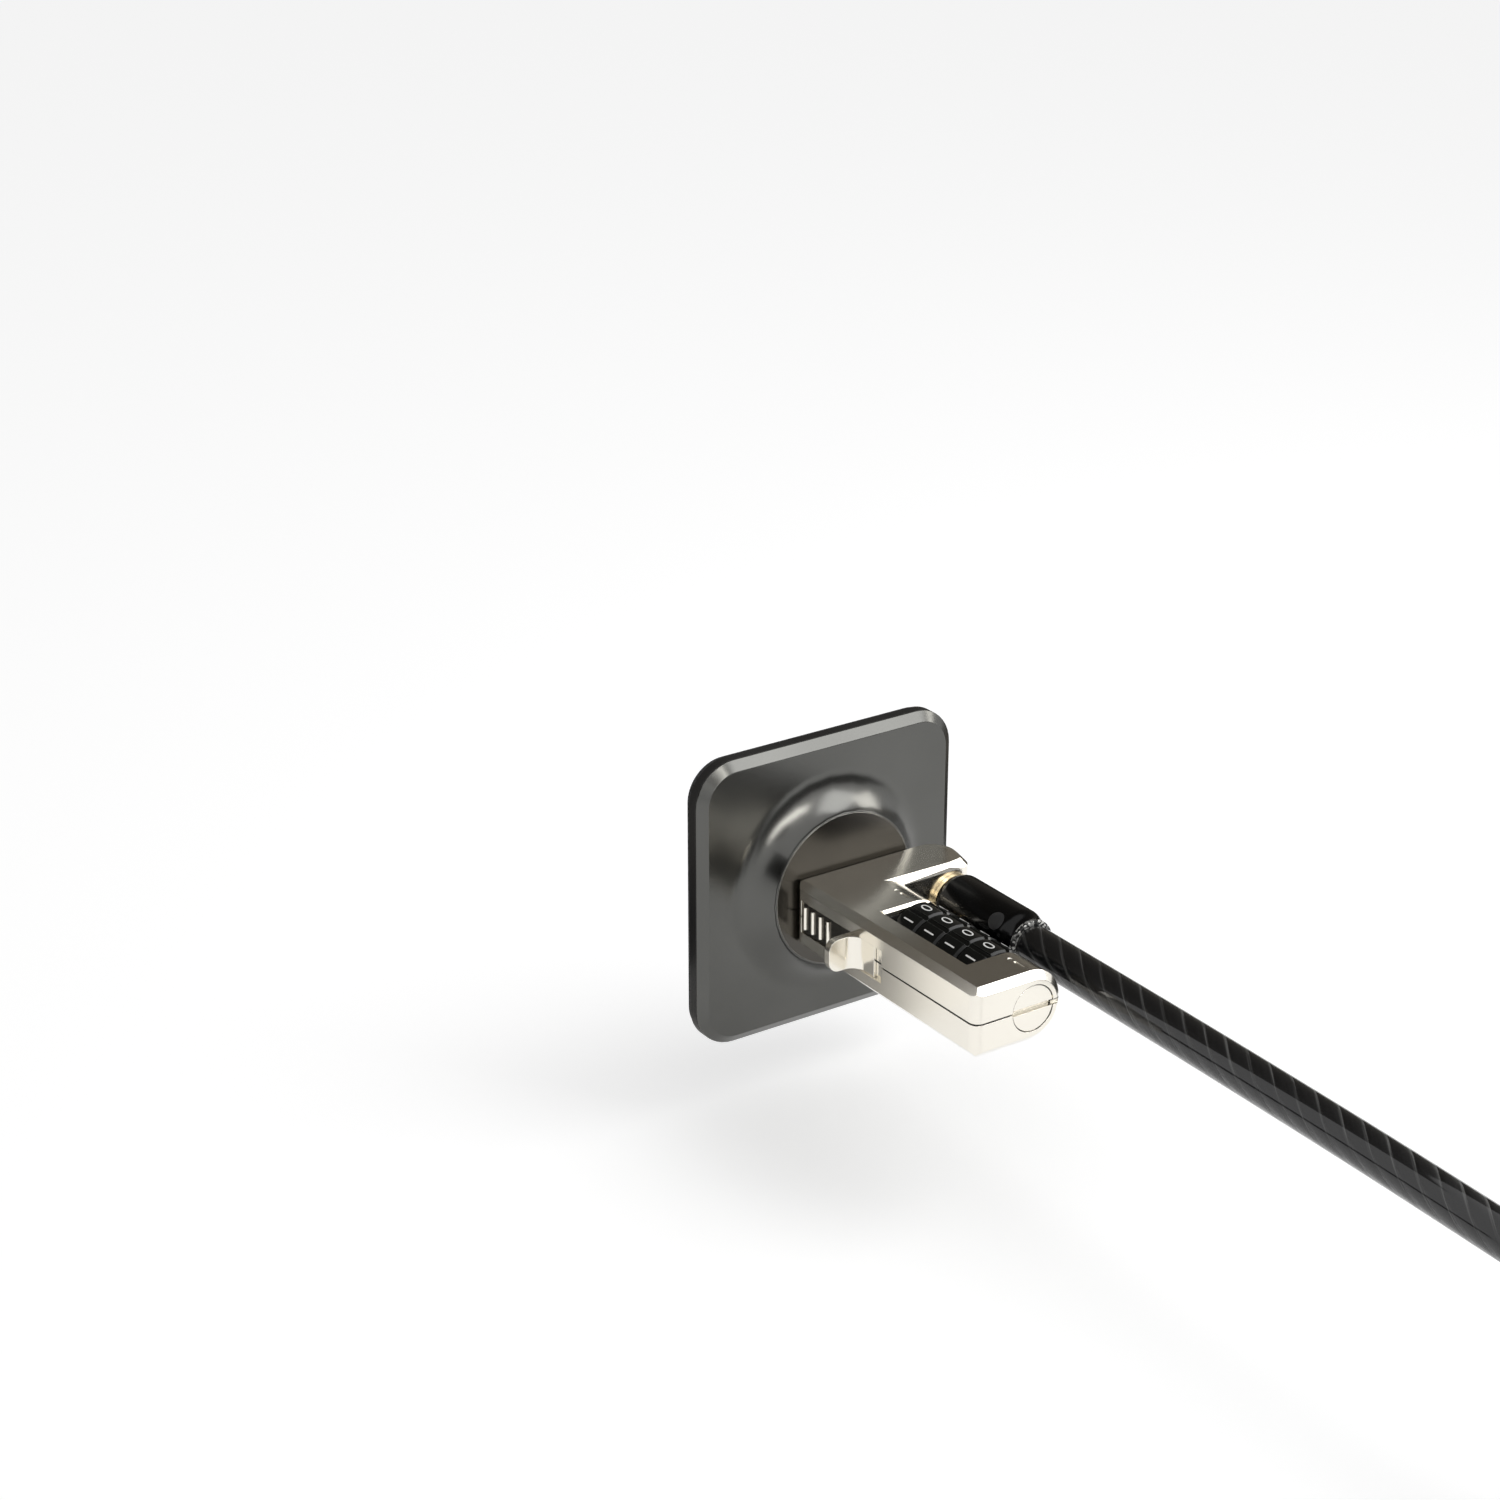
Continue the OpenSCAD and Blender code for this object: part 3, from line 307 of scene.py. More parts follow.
class Finish:
    """A material with one Principled shader, whose constant values sit on the shader's own sockets."""

    def __init__(self, name, colour, **values):
        self.material = bpy.data.materials.new(name)
        self.material.use_nodes = True
        self.tree = self.material.node_tree
        self.shader = self.tree.nodes["Principled BSDF"]
        self.colour = colour
        self.set("Base Color", (*colour, 1.0))
        for key, value in values.items():
            self.set(key.replace("_", " "), value)

    def set(self, socket, value):
        self.shader.inputs[socket].default_value = value

    def link(self, output, socket):
        self.tree.links.new(output, self.shader.inputs[socket])

    def group(self, group, **values):
        node = self.tree.nodes.new("ShaderNodeGroup")
        node.node_tree = group
        for key, value in values.items():
            node.inputs[key.replace("_", " ")].default_value = value
        return node

    def bump(self, height, strength, distance, normal=None):
        node = add_node(self.tree, "ShaderNodeBump", Strength=strength, Distance=distance)
        self.tree.links.new(height, node.inputs["Height"])
        if normal is not None:
            self.tree.links.new(normal, node.inputs["Normal"])
        self.link(node.outputs["Normal"], "Normal")

    def satin(self, scale, rough, spread, depth, tone=0.12, edge=0.0, radius=0.15 * MM, edge_wear_highlight_colour=None):
        """Grain in the gloss and the normal, a drift in the colour, and edges lightened partly as rubbed wear
        and partly as a painted highlight.
        """
        grain = self.group(grain_group(), Scale=scale)
        gloss = ramp(self.tree, grain.outputs["Height"], 0.3, 0.7, rough - spread, rough + spread)
        darker = tuple(c * (1.0 - tone) for c in self.colour)
        lighter = tuple(min(1.0, c * (1.0 + tone)) for c in self.colour)
        drift = ramp(self.tree, grain.outputs["Drift"], 0.3, 0.7)
        colour = mix_colour(self.tree, drift, darker, lighter)
        normal = None
        if edge > 0.0:
            edge_wear_and_highlight = self.group(edge_group(), Radius=radius)
            normal = edge_wear_and_highlight.outputs["Normal"]
            mask = math_node(self.tree, "MULTIPLY", edge_wear_and_highlight.outputs["Mask"], edge)
            # Lighter edges: partly rubbed wear, partly a painted highlight
            colour = mix_colour(self.tree, mask, colour, edge_wear_highlight_colour or lighter)
        self.link(colour, "Base Color")
        self.link(gloss, "Roughness")
        self.bump(grain.outputs["Height"], 1.0, depth, normal)
        return self


# ---------- materials ----------

def plate_metal(settings):
    return Finish("plate_gunmetal", settings.colour, Metallic=1.0).satin(
        5200.0, 0.23, 0.02, 0.0006 * MM, 0.04, 0.5, 0.12 * MM, (0.26, 0.26, 0.25)).material


def disc_steel(settings):
    # The slot disc's light rim line is a painted highlight besides rubbed wear
    return Finish("disc_steel", settings.disc_colour, Metallic=1.0).satin(
        5600.0, 0.24, 0.02, 0.0006 * MM, 0.05, 0.9, 0.12 * MM, (0.55, 0.54, 0.50)).material


def nickel_finish(name, settings):
    return Finish(name, settings.nickel, Metallic=1.0).satin(
        6500.0, 0.20, 0.025, 0.0007 * MM, 0.02, 0.35, 0.14 * MM, (0.95, 0.92, 0.86))


def grip_nickel(settings):
    """Nickel on the slider's ribs and tab, with painted shade, a darker colour, on the field between them."""
    finish = nickel_finish("grip_nickel", settings)
    tree = finish.tree
    axes = split_axes(tree, object_coordinates(tree))
    # The mask of the painted shade between the ribs and the tab
    skin = ramp(tree, axes["X"], -settings.grip_skin - 0.10 * MM, -settings.grip_skin - 0.04 * MM)
    behind = ramp(tree, axes["Y"], -settings.grip_end - 0.3 * MM, -settings.grip_end)
    painted_shade_mask = math_node(tree, "MULTIPLY", skin, behind)
    bright = finish.shader.inputs["Base Color"].links[0].from_socket
    finish.link(mix_colour(tree, painted_shade_mask, bright, settings.smoke), "Base Color")
    return finish.material


def dial_black(settings):
    # The grey edges of the black dials are a painted highlight besides rubbed wear
    return Finish("dial_black", settings.dial, IOR=1.5, Specular_IOR_Level=0.3).satin(
        5200.0, 0.14, 0.03, 0.0006 * MM, 0.25, 0.6, 0.12 * MM, (0.11, 0.115, 0.105)).material


def digit_white(settings):
    return Finish("digit_white", settings.digit, IOR=1.5).satin(6000.0, 0.35, 0.08, 0.002 * MM, 0.04).material


def dot_bright():
    return Finish("dot_bright", (0.93, 0.92, 0.88), Metallic=1.0).satin(
        5000.0, 0.18, 0.04, 0.001 * MM, 0.02).material


def moulded_black():
    finish = Finish("sleeve_black", (0.0015, 0.0015, 0.0017), IOR=1.45, Specular_IOR_Level=0.3)
    return finish.satin(5200.0, 0.16, 0.03, 0.0008 * MM, 0.3, 0.3, 0.15 * MM, (0.03, 0.03, 0.03)).material


def matt_base():
    return Finish("base_black", (0.014, 0.014, 0.014), IOR=1.5).satin(
        3000.0, 0.5, 0.08, 0.01 * MM, 0.3, 0.3, 0.2 * MM, (0.05, 0.05, 0.05)).material


def pad_foam():
    """Open foam with small pits, painted darker towards their bottoms as shade."""
    finish = Finish("pad_foam", (0.03, 0.03, 0.031), Roughness=0.9)
    pits = add_node(finish.tree, "ShaderNodeTexVoronoi", Scale=1500.0)
    finish.tree.links.new(object_coordinates(finish.tree), pits.inputs["Vector"])
    shade = ramp(finish.tree, pits.outputs["Distance"], 0.1, 0.6)
    # Painted shade: the colour darkens where the bump makes the pits deepest
    finish.link(mix_colour(finish.tree, shade, (0.012, 0.012, 0.012), (0.05, 0.05, 0.052)), "Base Color")
    finish.bump(shade, 0.8, 0.12 * MM)
    return finish.material


def turned_metal(name, colour, rough):
    """Fine turning marks across the axis of a turned piece."""
    finish = Finish(name, colour, Metallic=1.0)
    marks = add_node(finish.tree, "ShaderNodeTexNoise", Scale=1.0, Detail=4.0, Roughness=0.7)
    finish.tree.links.new(object_coordinates(finish.tree, (300.0, 9000.0, 300.0)), marks.inputs["Vector"])
    finish.link(ramp(finish.tree, marks.outputs["Fac"], 0.3, 0.7, rough - 0.06, rough + 0.08), "Roughness")
    drift = ramp(finish.tree, marks.outputs["Fac"], 0.25, 0.75)
    lighter = tuple(min(1.0, c * 1.12) for c in colour)
    finish.link(mix_colour(finish.tree, drift, tuple(c * 0.86 for c in colour), lighter), "Base Color")
    finish.bump(marks.outputs["Fac"], 0.6, 0.01 * MM)
    return finish.material


def speckled_ring():
    """A ring around the cable at the sleeve's end, with light and dark specks; the light specks are painted
    glints.
    """
    finish = Finish("speckled_ring", (0.2, 0.2, 0.2), Metallic=0.6, Roughness=0.35)
    specks = add_node(finish.tree, "ShaderNodeTexVoronoi", Scale=2600.0)
    finish.tree.links.new(object_coordinates(finish.tree), specks.inputs["Vector"])
    split = finish.tree.nodes.new("ShaderNodeSeparateColor")
    finish.tree.links.new(specks.outputs["Color"], split.inputs["Color"])
    shade = ramp(finish.tree, split.outputs["Red"], 0.35, 0.9)
    # Painted glints: light specks in the colour over a dark ring
    finish.link(mix_colour(finish.tree, shade, (0.02, 0.02, 0.02), (0.62, 0.62, 0.60)), "Base Color")
    finish.bump(specks.outputs["Distance"], 0.8, 0.08 * MM)
    return finish.material


def plug_grey():
    return Finish("plug_grey", (0.030, 0.030, 0.031), IOR=1.5).satin(
        4200.0, 0.42, 0.08, 0.002 * MM, 0.2).material


def cable_sheath(settings):
    """Twisted strands under a clear, smooth sheath, laid out along and around the cable, with a painted
    glint, a lighter colour line, along one side of each strand.
    """
    finish = Finish("cable_sheath", settings.sheath, IOR=1.5, Specular_IOR_Level=0.15, Coat_Weight=1.0,
                    Coat_Roughness=0.045, Coat_IOR=1.5)
    tree = finish.tree
    axes = split_axes(tree, tree.nodes.new("ShaderNodeUVMap").outputs["UV"])
    twist = math_node(tree, "MULTIPLY", axes["X"], settings.strands / settings.lay)
    around = math_node(tree, "MULTIPLY", axes["Y"], float(settings.strands))
    phase = math_node(tree, "FRACT", math_node(tree, "ADD", around, twist))
    centred = math_node(tree, "ABSOLUTE", math_node(tree, "SUBTRACT", phase, 0.5))
    across = math_node(tree, "MULTIPLY", centred, 2.0)
    crown = math_node(tree, "SQRT", math_node(tree, "SUBTRACT", 1.0, math_node(tree, "POWER", across, 2.0)))
    # The mask of the painted glint, near one edge of each strand
    glint = math_node(tree, "MULTIPLY", ramp(tree, phase, 0.80, 0.93), ramp(tree, phase, 0.95, 1.0, 1.0, 0.0))
    wires = add_node(tree, "ShaderNodeTexNoise", Scale=1.0, Detail=2.0)
    stretch = tree.nodes.new("ShaderNodeCombineXYZ")
    tree.links.new(math_node(tree, "MULTIPLY", axes["X"], 90.0), stretch.inputs["X"])
    strand_wires = 8.0
    fine = [math_node(tree, "MULTIPLY", value, strand_wires) for value in (around, twist)]
    tree.links.new(math_node(tree, "ADD", *fine), stretch.inputs["Y"])
    tree.links.new(stretch.outputs["Vector"], wires.inputs["Vector"])
    patchy = ramp(tree, wires.outputs["Fac"], 0.35, 0.75, 0.1, 1.0)
    finish.link(mix_colour(tree, math_node(tree, "MULTIPLY", glint, patchy), settings.sheath, settings.glint),
                "Base Color")
    finish.link(ramp(tree, wires.outputs["Fac"], 0.3, 0.7, 0.30, 0.46), "Roughness")
    relief = math_node(tree, "ADD", crown, math_node(tree, "MULTIPLY", wires.outputs["Fac"], 0.12))
    finish.bump(relief, 0.55, 0.5 * MM)
    return finish.material


def woven_strap(settings):
    finish = Finish("woven_strap", settings.strap, Roughness=0.85, Sheen_Weight=0.3)
    weave = finish.group(weave_group(), Pitch=2 * math.pi * 900.0)
    height = weave.outputs["Height"]
    dark = tuple(c * 0.45 for c in settings.strap)
    light = tuple(c * 1.8 for c in settings.strap)
    # Painted shade and highlight: the colour follows the weave's height, darker in the dips and lighter on
    # the crossings
    finish.link(mix_colour(finish.tree, ramp(finish.tree, height, -1.0, 1.0), dark, light), "Base Color")
    finish.bump(height, 0.7, 0.15 * MM)
    return finish.material


# ---------- mesh helpers ----------

def add_object(name, data):
    piece = bpy.data.objects.new(name, data)
    bpy.context.scene.collection.objects.link(piece)
    return piece


def new_piece(name, verts, faces, material, body, uvs=None, sharp=35.0):
    """A mesh piece with outward normals, soft shading and edges kept sharp past an angle."""
    mesh = bpy.data.meshes.new(name)
    mesh.from_pydata([tuple(v) for v in verts], [], faces)
    if uvs is not None:
        layer = mesh.uv_layers.new(name="UVMap")
        layer.data.foreach_set("uv", [number for pair in uvs for number in pair])
    shape = bmesh.new()
    shape.from_mesh(mesh)
    bmesh.ops.recalc_face_normals(shape, faces=shape.faces)
    shape.to_mesh(mesh)
    shape.free()
    mesh.shade_smooth()
    mesh.set_sharp_from_angle(angle=math.radians(sharp))
    piece = add_object(name, mesh)
    mesh.materials.append(material)
    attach(piece, body)
    return piece


def ring_faces(rings, count, close=False):
    """Quads between rings of count points each, and back to the first ring if close."""
    faces = []
    for i in range(rings if close else rings - 1):
        a, b = i * count, ((i + 1) % rings) * count
        for k in range(count):
            n = (k + 1) % count
            faces.append((a + k, a + n, b + n, b + k))
    return faces


def unit_circle(steps):
    """Cosine and sine of each step of a full turn."""
    turns = [2 * math.pi * k / steps for k in range(steps)]
    return [(math.cos(a), math.sin(a)) for a in turns]


def lathe(name, centre, profile, material, body, steps=96):
    """A turned piece about a line along -Y. The profile lists radius and distance out, from axis to axis."""
    rings = [p for p in profile if p[0] > 0.0]
    around = unit_circle(steps)
    verts = [(centre[0] + r * c, -out, centre[1] + r * s) for r, out in rings for c, s in around]
    closed = profile[0][0] > 0.0
    faces = ring_faces(len(rings), steps, closed)
    if not closed:
        for end, first in ((profile[0], 0), (profile[-1], (len(rings) - 1) * steps)):
            middle = len(verts)
            verts.append((centre[0], -end[1], centre[1]))
            faces += [(first + k, first + (k + 1) % steps, middle) for k in range(steps)]
    return new_piece(name, verts, faces, material, body)


def arc(centre, radius, start, end, steps):
    """Points of an arc in a profile, angles in degrees."""
    turn = [math.radians(start + (end - start) * k / steps) for k in range(steps + 1)]
    return [(centre[0] + radius * math.cos(a), centre[1] + radius * math.sin(a)) for a in turn]


def bevel(piece, width, segments=2, angle=30.0):
    modifier = piece.modifiers.new("Rounded edges", "BEVEL")
    modifier.width = width
    modifier.segments = segments
    modifier.limit_method = "ANGLE"
    modifier.angle_limit = math.radians(angle)
    modifier.harden_normals = True


# ---------- anchor plate ----------

def square_outline(half, corner, arc_steps=10, side_steps=6):
    """Points of a square with round corners, sideways and up."""
    points = []
    for quarter in range(4):
        turn = Matrix.Rotation(math.radians(90 * quarter), 2)
        middle = half - corner
        for k in range(arc_steps + 1):
            a = math.radians(90 * k / arc_steps)
            points.append(turn @ Vector((middle + corner * math.cos(a), middle + corner * math.sin(a))))
        for k in range(1, side_steps):
            points.append(turn @ Vector((middle - 2 * middle * k / side_steps, half)))
    return points


def plate_rings(settings, half):
    """Rings from the pocket's back edge, round the rim, over the dome and back into the pocket."""
    face_out = BASE_OUT + settings.face_t
    outline = square_outline(half, settings.corner)
    headings = [p.normalized() for p in outline]

    def square(inset, out):
        return [(p.x, -out, p.y) for p in square_outline(half - inset, settings.corner - inset)]

    def circle(r, out):
        return [(h.x * r, -out, h.y * r) for h in headings]

    rings = [circle(settings.pocket, BASE_OUT), square(0.0, BASE_OUT), square(0.0, BASE_OUT + settings.rim),
             square(settings.chamfer, face_out)]
    inner = square(settings.chamfer, face_out)
    spread = settings.dome_base + 0.4 * MM
    for share in (0.35, 0.7, 1.0):
        blend = [Vector(a).lerp(Vector((h.x * spread, -face_out, h.y * spread)), share)
                 for a, h in zip(inner, headings)]
        rings.append([tuple(p) for p in blend])
    steps = 28
    rise = DOME_OUT - face_out - settings.lip
    for k in range(steps + 1):
        a = math.radians(90 * k / steps)
        r = settings.dome_base - (settings.dome_base - settings.dome_top) * math.sin(a)
        share = settings.flare_round * (1 - math.cos(a))
        share += (1 - settings.flare_round) * math.sin(a) ** settings.flare_power
        rings.append(circle(r, face_out + rise * share))
    lip = settings.lip
    for r, out in arc((settings.dome_top - lip, DOME_OUT - lip), lip, 15, 90, 6):
        rings.append(circle(r, out))
    seat = DISC_R + 0.03 * MM
    rings += [circle(seat, DOME_OUT), circle(seat, DISC_BACK_OUT), circle(settings.pocket, DISC_BACK_OUT)]
    return rings


class LOCK_OT_anchor_plate(bpy.types.Operator):
    """Build the chamfered anchor plate with its smooth dome, and finish the base, the pad and the disc"""
    bl_idname = "lock.anchor_plate"
    bl_label = "Anchor Plate"

    def execute(self, context):
        settings = context.scene.lock_plate
        rings = plate_rings(settings, PLATE_HIGH.x)
        count = len(rings[0])
        verts = [p for ring in rings for p in ring]
        plate = new_piece("plate_dome", verts, ring_faces(len(rings), count, True), plate_metal(settings),
                          "root", sharp=25.0)
        bevel(plate, 0.1 * MM, 2, 25.0)
        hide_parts("anchor_plate")
        paint("slot_disc", disc_steel(settings))
        paint("plate_base", matt_base())
        paint("adhesive_pad", pad_foam())
        return {"FINISHED"}


def paint(node, material):
    """Gives a node of the frame its finish."""
    mesh = frame["nodes"][node].data
    mesh.materials.clear()
    mesh.materials.append(material)


# ---------- lock head ----------

class LOCK_OT_head(bpy.types.Operator):
    """Finish the two shells, the slider, the reset screw and the index dots"""
    bl_idname = "lock.head"
    bl_label = "Lock Head"

    def execute(self, context):
        settings = context.scene.lock_head
        nickel = nickel_finish("warm_nickel", settings).material
        for node in ("upper_shell", "lower_shell", "reset_screw"):
            paint(node, nickel)
        paint("thumb_slider", grip_nickel(settings))
        paint("lock_chassis", matt_base())
        bright = dot_bright()
        top = SHELL_HIGH.z
        for name, out in zip(("index_dot_rear", "index_dot_front"), settings.dots_out):
            domed_disc(name, Vector((DIAL_AXIS.x, -out, top - 0.12 * MM)), settings.dot, 0.10 * MM, bright)
        return {"FINISHED"}


def domed_disc(name, centre, radius, height, material, rings=5, steps=32):
    """A small pressed dot with a domed top, flat below."""
    verts = [tuple(centre + Vector((0, 0, height)))]
    for i in range(1, rings + 1):
        r = radius * i / rings
        rise = height * (1 - (i / rings) ** 2)
        verts += [tuple(centre + Vector((r * c, r * s, rise))) for c, s in unit_circle(steps)]
    faces = [(0, 1 + k, 1 + (k + 1) % steps) for k in range(steps)]
    for i in range(rings - 1):
        a, b = 1 + i * steps, 1 + (i + 1) * steps
        faces += [(a + k, b + k, b + (k + 1) % steps, a + (k + 1) % steps) for k in range(steps)]
    last = 1 + (rings - 1) * steps
    faces.append(tuple(last + k for k in range(steps)))
    return new_piece(name, verts, faces, material, "root")


# ---------- dials ----------

def digit_shape(text, height, depth):
    """The mesh of one digit, centred, as tall as height and as thick as depth."""
    stroke_offset = -0.012
    width_share = 0.95
    weld = 0.002 * MM
    longest_edge = 0.35 * MM
    curve = bpy.data.curves.new("digit_" + text, "FONT")
    curve.body = text
    curve.extrude = depth / 2
    curve.offset = stroke_offset
    curve.resolution_u = 5
    curve.align_x = "CENTER"
    holder = add_object("digit_" + text, curve)
    bpy.context.view_layer.update()
    mesh = bpy.data.meshes.new_from_object(holder.evaluated_get(bpy.context.evaluated_depsgraph_get()))
    bpy.data.objects.remove(holder)
    bpy.data.curves.remove(curve)
    shape = bmesh.new()
    shape.from_mesh(mesh)
    bpy.data.meshes.remove(mesh)
    low = Vector(min(v.co[i] for v in shape.verts) for i in range(3))
    high = Vector(max(v.co[i] for v in shape.verts) for i in range(3))
    middle = (low + high) / 2
    scale = height / (high.y - low.y)
    for v in shape.verts:
        flat = (v.co - middle) * scale
        v.co = Vector((flat.x * width_share, flat.y, v.co.z))
    bmesh.ops.remove_doubles(shape, verts=shape.verts, dist=weld)
    for _ in range(3):
        long = [e for e in shape.edges if abs(e.verts[0].co.x - e.verts[1].co.x) > longest_edge]
        if not long:
            break
        bmesh.ops.subdivide_edges(shape, edges=long, cuts=1)
    bmesh.ops.triangulate(shape, faces=shape.faces)
    verts = [v.co.copy() for v in shape.verts]
    faces = [[v.index for v in f.verts] for f in shape.faces]
    shape.free()
    return verts, faces


class LOCK_OT_dials(bpy.types.Operator):
    """Finish the dials and wrap ten painted digits around each"""
    bl_idname = "lock.dials"
    bl_label = "Dials"

    def execute(self, context):
        settings = context.scene.lock_head
        black = dial_black(settings)
        white = digit_white(settings)
        brass = turned_metal("hub_brass", (0.62, 0.46, 0.22), 0.3)
        shapes = [digit_shape(str(k), settings.digit_height, 2 * settings.digit_proud) for k in range(10)]
        for name in DIAL_NAMES:
            paint(name, black)
            paint(name.replace("dial_", "dial_hub_"), brass)
            low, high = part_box(name)
            self.add_digits(name, (low.y + high.y) / 2, (high.z - low.z) / 2, shapes, white)
        return {"FINISHED"}

    def add_digits(self, dial, middle, radius, shapes, material):
        verts = []
        faces = []
        for digit, (points, polygons) in enumerate(shapes):
            first = len(verts)
            turn = -2 * math.pi * digit / len(shapes)
            for p in points:
                a = turn + p.x / radius
                r = radius + p.z
                verts.append((DIAL_AXIS.x + r * math.sin(a), middle + p.y, DIAL_AXIS.z + r * math.cos(a)))
            faces += [[first + i for i in polygon] for polygon in polygons]
        new_piece(dial + "_digits", verts, faces, material, dial)


# ---------- swivel and sleeve ----------

class LOCK_OT_sleeve(bpy.types.Operator):
    """Turn the moulded cable sleeve, its speckled end ring and the plug of its pin"""
    bl_idname = "lock.sleeve"
    bl_label = "Sleeve and Swivel"

    def execute(self, context):
        centre = (SWIVEL_X, SWIVEL_Z)
        shoulder = 1.5 * MM
        ring_l = 0.9 * MM
        taper_start = SLEEVE_END - 3.6 * MM
        stud_end = SLEEVE_OUT + 8 * MM
        bore_end = SLEEVE_END - 3 * MM
        taper_end = SLEEVE_END - ring_l
        end_r = 3.95 * MM
        stud_r = 2.03 * MM
        bore = CABLE_R + 0.1 * MM
        profile = [(0.0, stud_end), (stud_r, stud_end), (stud_r, SLEEVE_OUT)]
        profile += [(SLEEVE_R - shoulder, SLEEVE_OUT)]
        profile += arc((SLEEVE_R - shoulder, SLEEVE_OUT + shoulder), shoulder, -80, 0, 8)
        steps = 12
        for k in range(steps + 1):
            t = k / steps
            r = SLEEVE_R + (end_r - SLEEVE_R) * (1 - math.cos(math.pi * t)) / 2
            profile.append((r, taper_start + (taper_end - taper_start) * t))
        profile += [(bore, taper_end), (bore, bore_end), (0.0, bore_end)]
        black = moulded_black()
        sleeve = lathe("sleeve_moulding", centre, profile, black, "swivel", steps=128)
        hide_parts("cable_sleeve")
        lip_r = 4.05 * MM
        inner = CABLE_R + 0.02 * MM
        edge = 0.25 * MM
        ring = [(inner, taper_end)] + arc((lip_r - edge, taper_end + edge), edge, -90, 0, 4)
        ring += arc((lip_r - edge, SLEEVE_END - edge), edge, 0, 90, 4) + [(inner, SLEEVE_END)]
        lathe("sleeve_end_ring", centre, ring, speckled_ring(), "swivel")
        self.add_plug()
        paint("swivel_stud", turned_metal("stud_brass", (0.72, 0.60, 0.40), 0.24))
        return {"FINISHED"}

    def add_plug(self):
        """A round plug that follows the sleeve's side, over the end of the pin."""
        low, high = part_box("sleeve_pin")
        middle = (low + high) / 2
        side = Vector((middle.x - SWIVEL_X, 0.0, middle.z - SWIVEL_Z)).normalized()
        turn = math.atan2(side.z, side.x)
        radius = 1.55 * MM
        crown = 0.05 * MM
        sunk = 0.5 * MM
        rings, steps = 6, 40
        verts = []
        for i in range(1, rings + 2):
            share = min(i, rings) / rings
            r = SLEEVE_R + (crown * (1 - share ** 4) if i <= rings else -sunk)
            for c, s in unit_circle(steps):
                a = turn + radius * share * s / SLEEVE_R
                y = middle.y + radius * share * c
                verts.append((SWIVEL_X + r * math.cos(a), y, SWIVEL_Z + r * math.sin(a)))
        tip = len(verts)
        top = SLEEVE_R + crown
        verts.append((SWIVEL_X + top * side.x, middle.y, SWIVEL_Z + top * side.z))
        faces = ring_faces(rings + 1, steps)
        faces += [(tip, k, (k + 1) % steps) for k in range(steps)]
        faces.append(tuple(rings * steps + k for k in range(steps)))
        plug = new_piece("sleeve_plug", verts, faces, plug_grey(), "swivel")
        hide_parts("sleeve_pin")


# ---------- cable ----------

RUN_POINTS = [
    (14.8, -36.5, -1.7), (14.8, -47.2, -1.7), (14.8, -69.2, -1.8), (14.8, -94.2, -2.1), (14.8, -119.2, -2.6),
    (14.8, -144.2, -3.4), (15.4, -154.2, -4.1), (17.0, -164.2, -5.1), (19.3, -174.2, -6.3),
    (21.6, -184.2, -7.6), (23.3, -193.2, -8.8), (24.3, -201.2, -9.8), (24.6, -210.2, -10.8),
    (24.6, -221.2, -12.0), (24.6, -235.2, -13.9), (24.6, -247.2, -15.8), (24.6, -257.2, -17.2),
    (24.6, -265.2, -18.1), (24.6, -270.3, -18.2),
]
# From where the hank lets go, on top of it
TAIL_POINTS = [(17.3, -207.7, -10.0), (17.3, -209.2, -10.0), (16.95, -213.2, -10.0), (15.95, -217.0, -10.0)]
# Along and beside the end loop's own axis
LOOP_SIDE = [(1.5, -3.7), (9, -5.1), (20, -11.6), (30, -18.4), (42, -21), (53, -17.9), (60.2, -10.5)]
LOOP_POINTS = LOOP_SIDE + [(63, 0)] + [(x, -y) for x, y in reversed(LOOP_SIDE)]
OUTER_TURNS = 3
INNER_TURNS = 2
HANK_LEAD = 3.3 * MM
# A turn of the hank counts 24 stations, which start with its right straight
FAR_FOLD, LEFT_STRAIGHT, NEAR_FOLD, TURN_END = 4, 12, 16, 24


def ease(share):
    return share * share * (3 - 2 * share)


def hank_point(settings, turn, station, start):
    """A point of the hank, whose outer turns go down layer by layer and whose inner turns come up again."""
    outer = turn < OUTER_TURNS
    radius = settings.fold + (settings.pitch if outer else 0.0)
    following = settings.fold + (settings.pitch if turn + 1 < OUTER_TURNS else 0.0)
    layer = OUTER_TURNS - 1 - turn if outer else turn - OUTER_TURNS
    long = settings.straight
    if station < FAR_FOLD:
        share = station / FAR_FOLD
        x, y = radius, -long * share
        layer += 1 - ease(share) if outer else 0
    elif station < LEFT_STRAIGHT:
        a = math.pi * (station - FAR_FOLD) / (LEFT_STRAIGHT - FAR_FOLD)
        x, y = radius * math.cos(a), -long - radius * math.sin(a)
    elif station < NEAR_FOLD:
        share = (station - LEFT_STRAIGHT) / (NEAR_FOLD - LEFT_STRAIGHT)
        x, y = -radius, -long * (1 - share)
        layer += 0 if outer else ease(share)
    else:
        share = (station - NEAR_FOLD) / (TURN_END - NEAR_FOLD)
        mean = (radius + following) / 2
        x = (following - radius) / 2 - mean * math.cos(math.pi * share)
        y = mean * math.sin(math.pi * share)
        layer += 0 if outer else 1
    z = start.z - settings.pitch * (OUTER_TURNS - 1 - layer)
    if turn == OUTER_TURNS + INNER_TURNS - 1 and station >= NEAR_FOLD:
        z += (TAIL_POINTS[0][2] * MM - z) * ease(share)
    middle = start + Vector((-settings.fold - settings.pitch, long - HANK_LEAD, 0.0))
    return Vector((middle.x + x, middle.y + y, z))


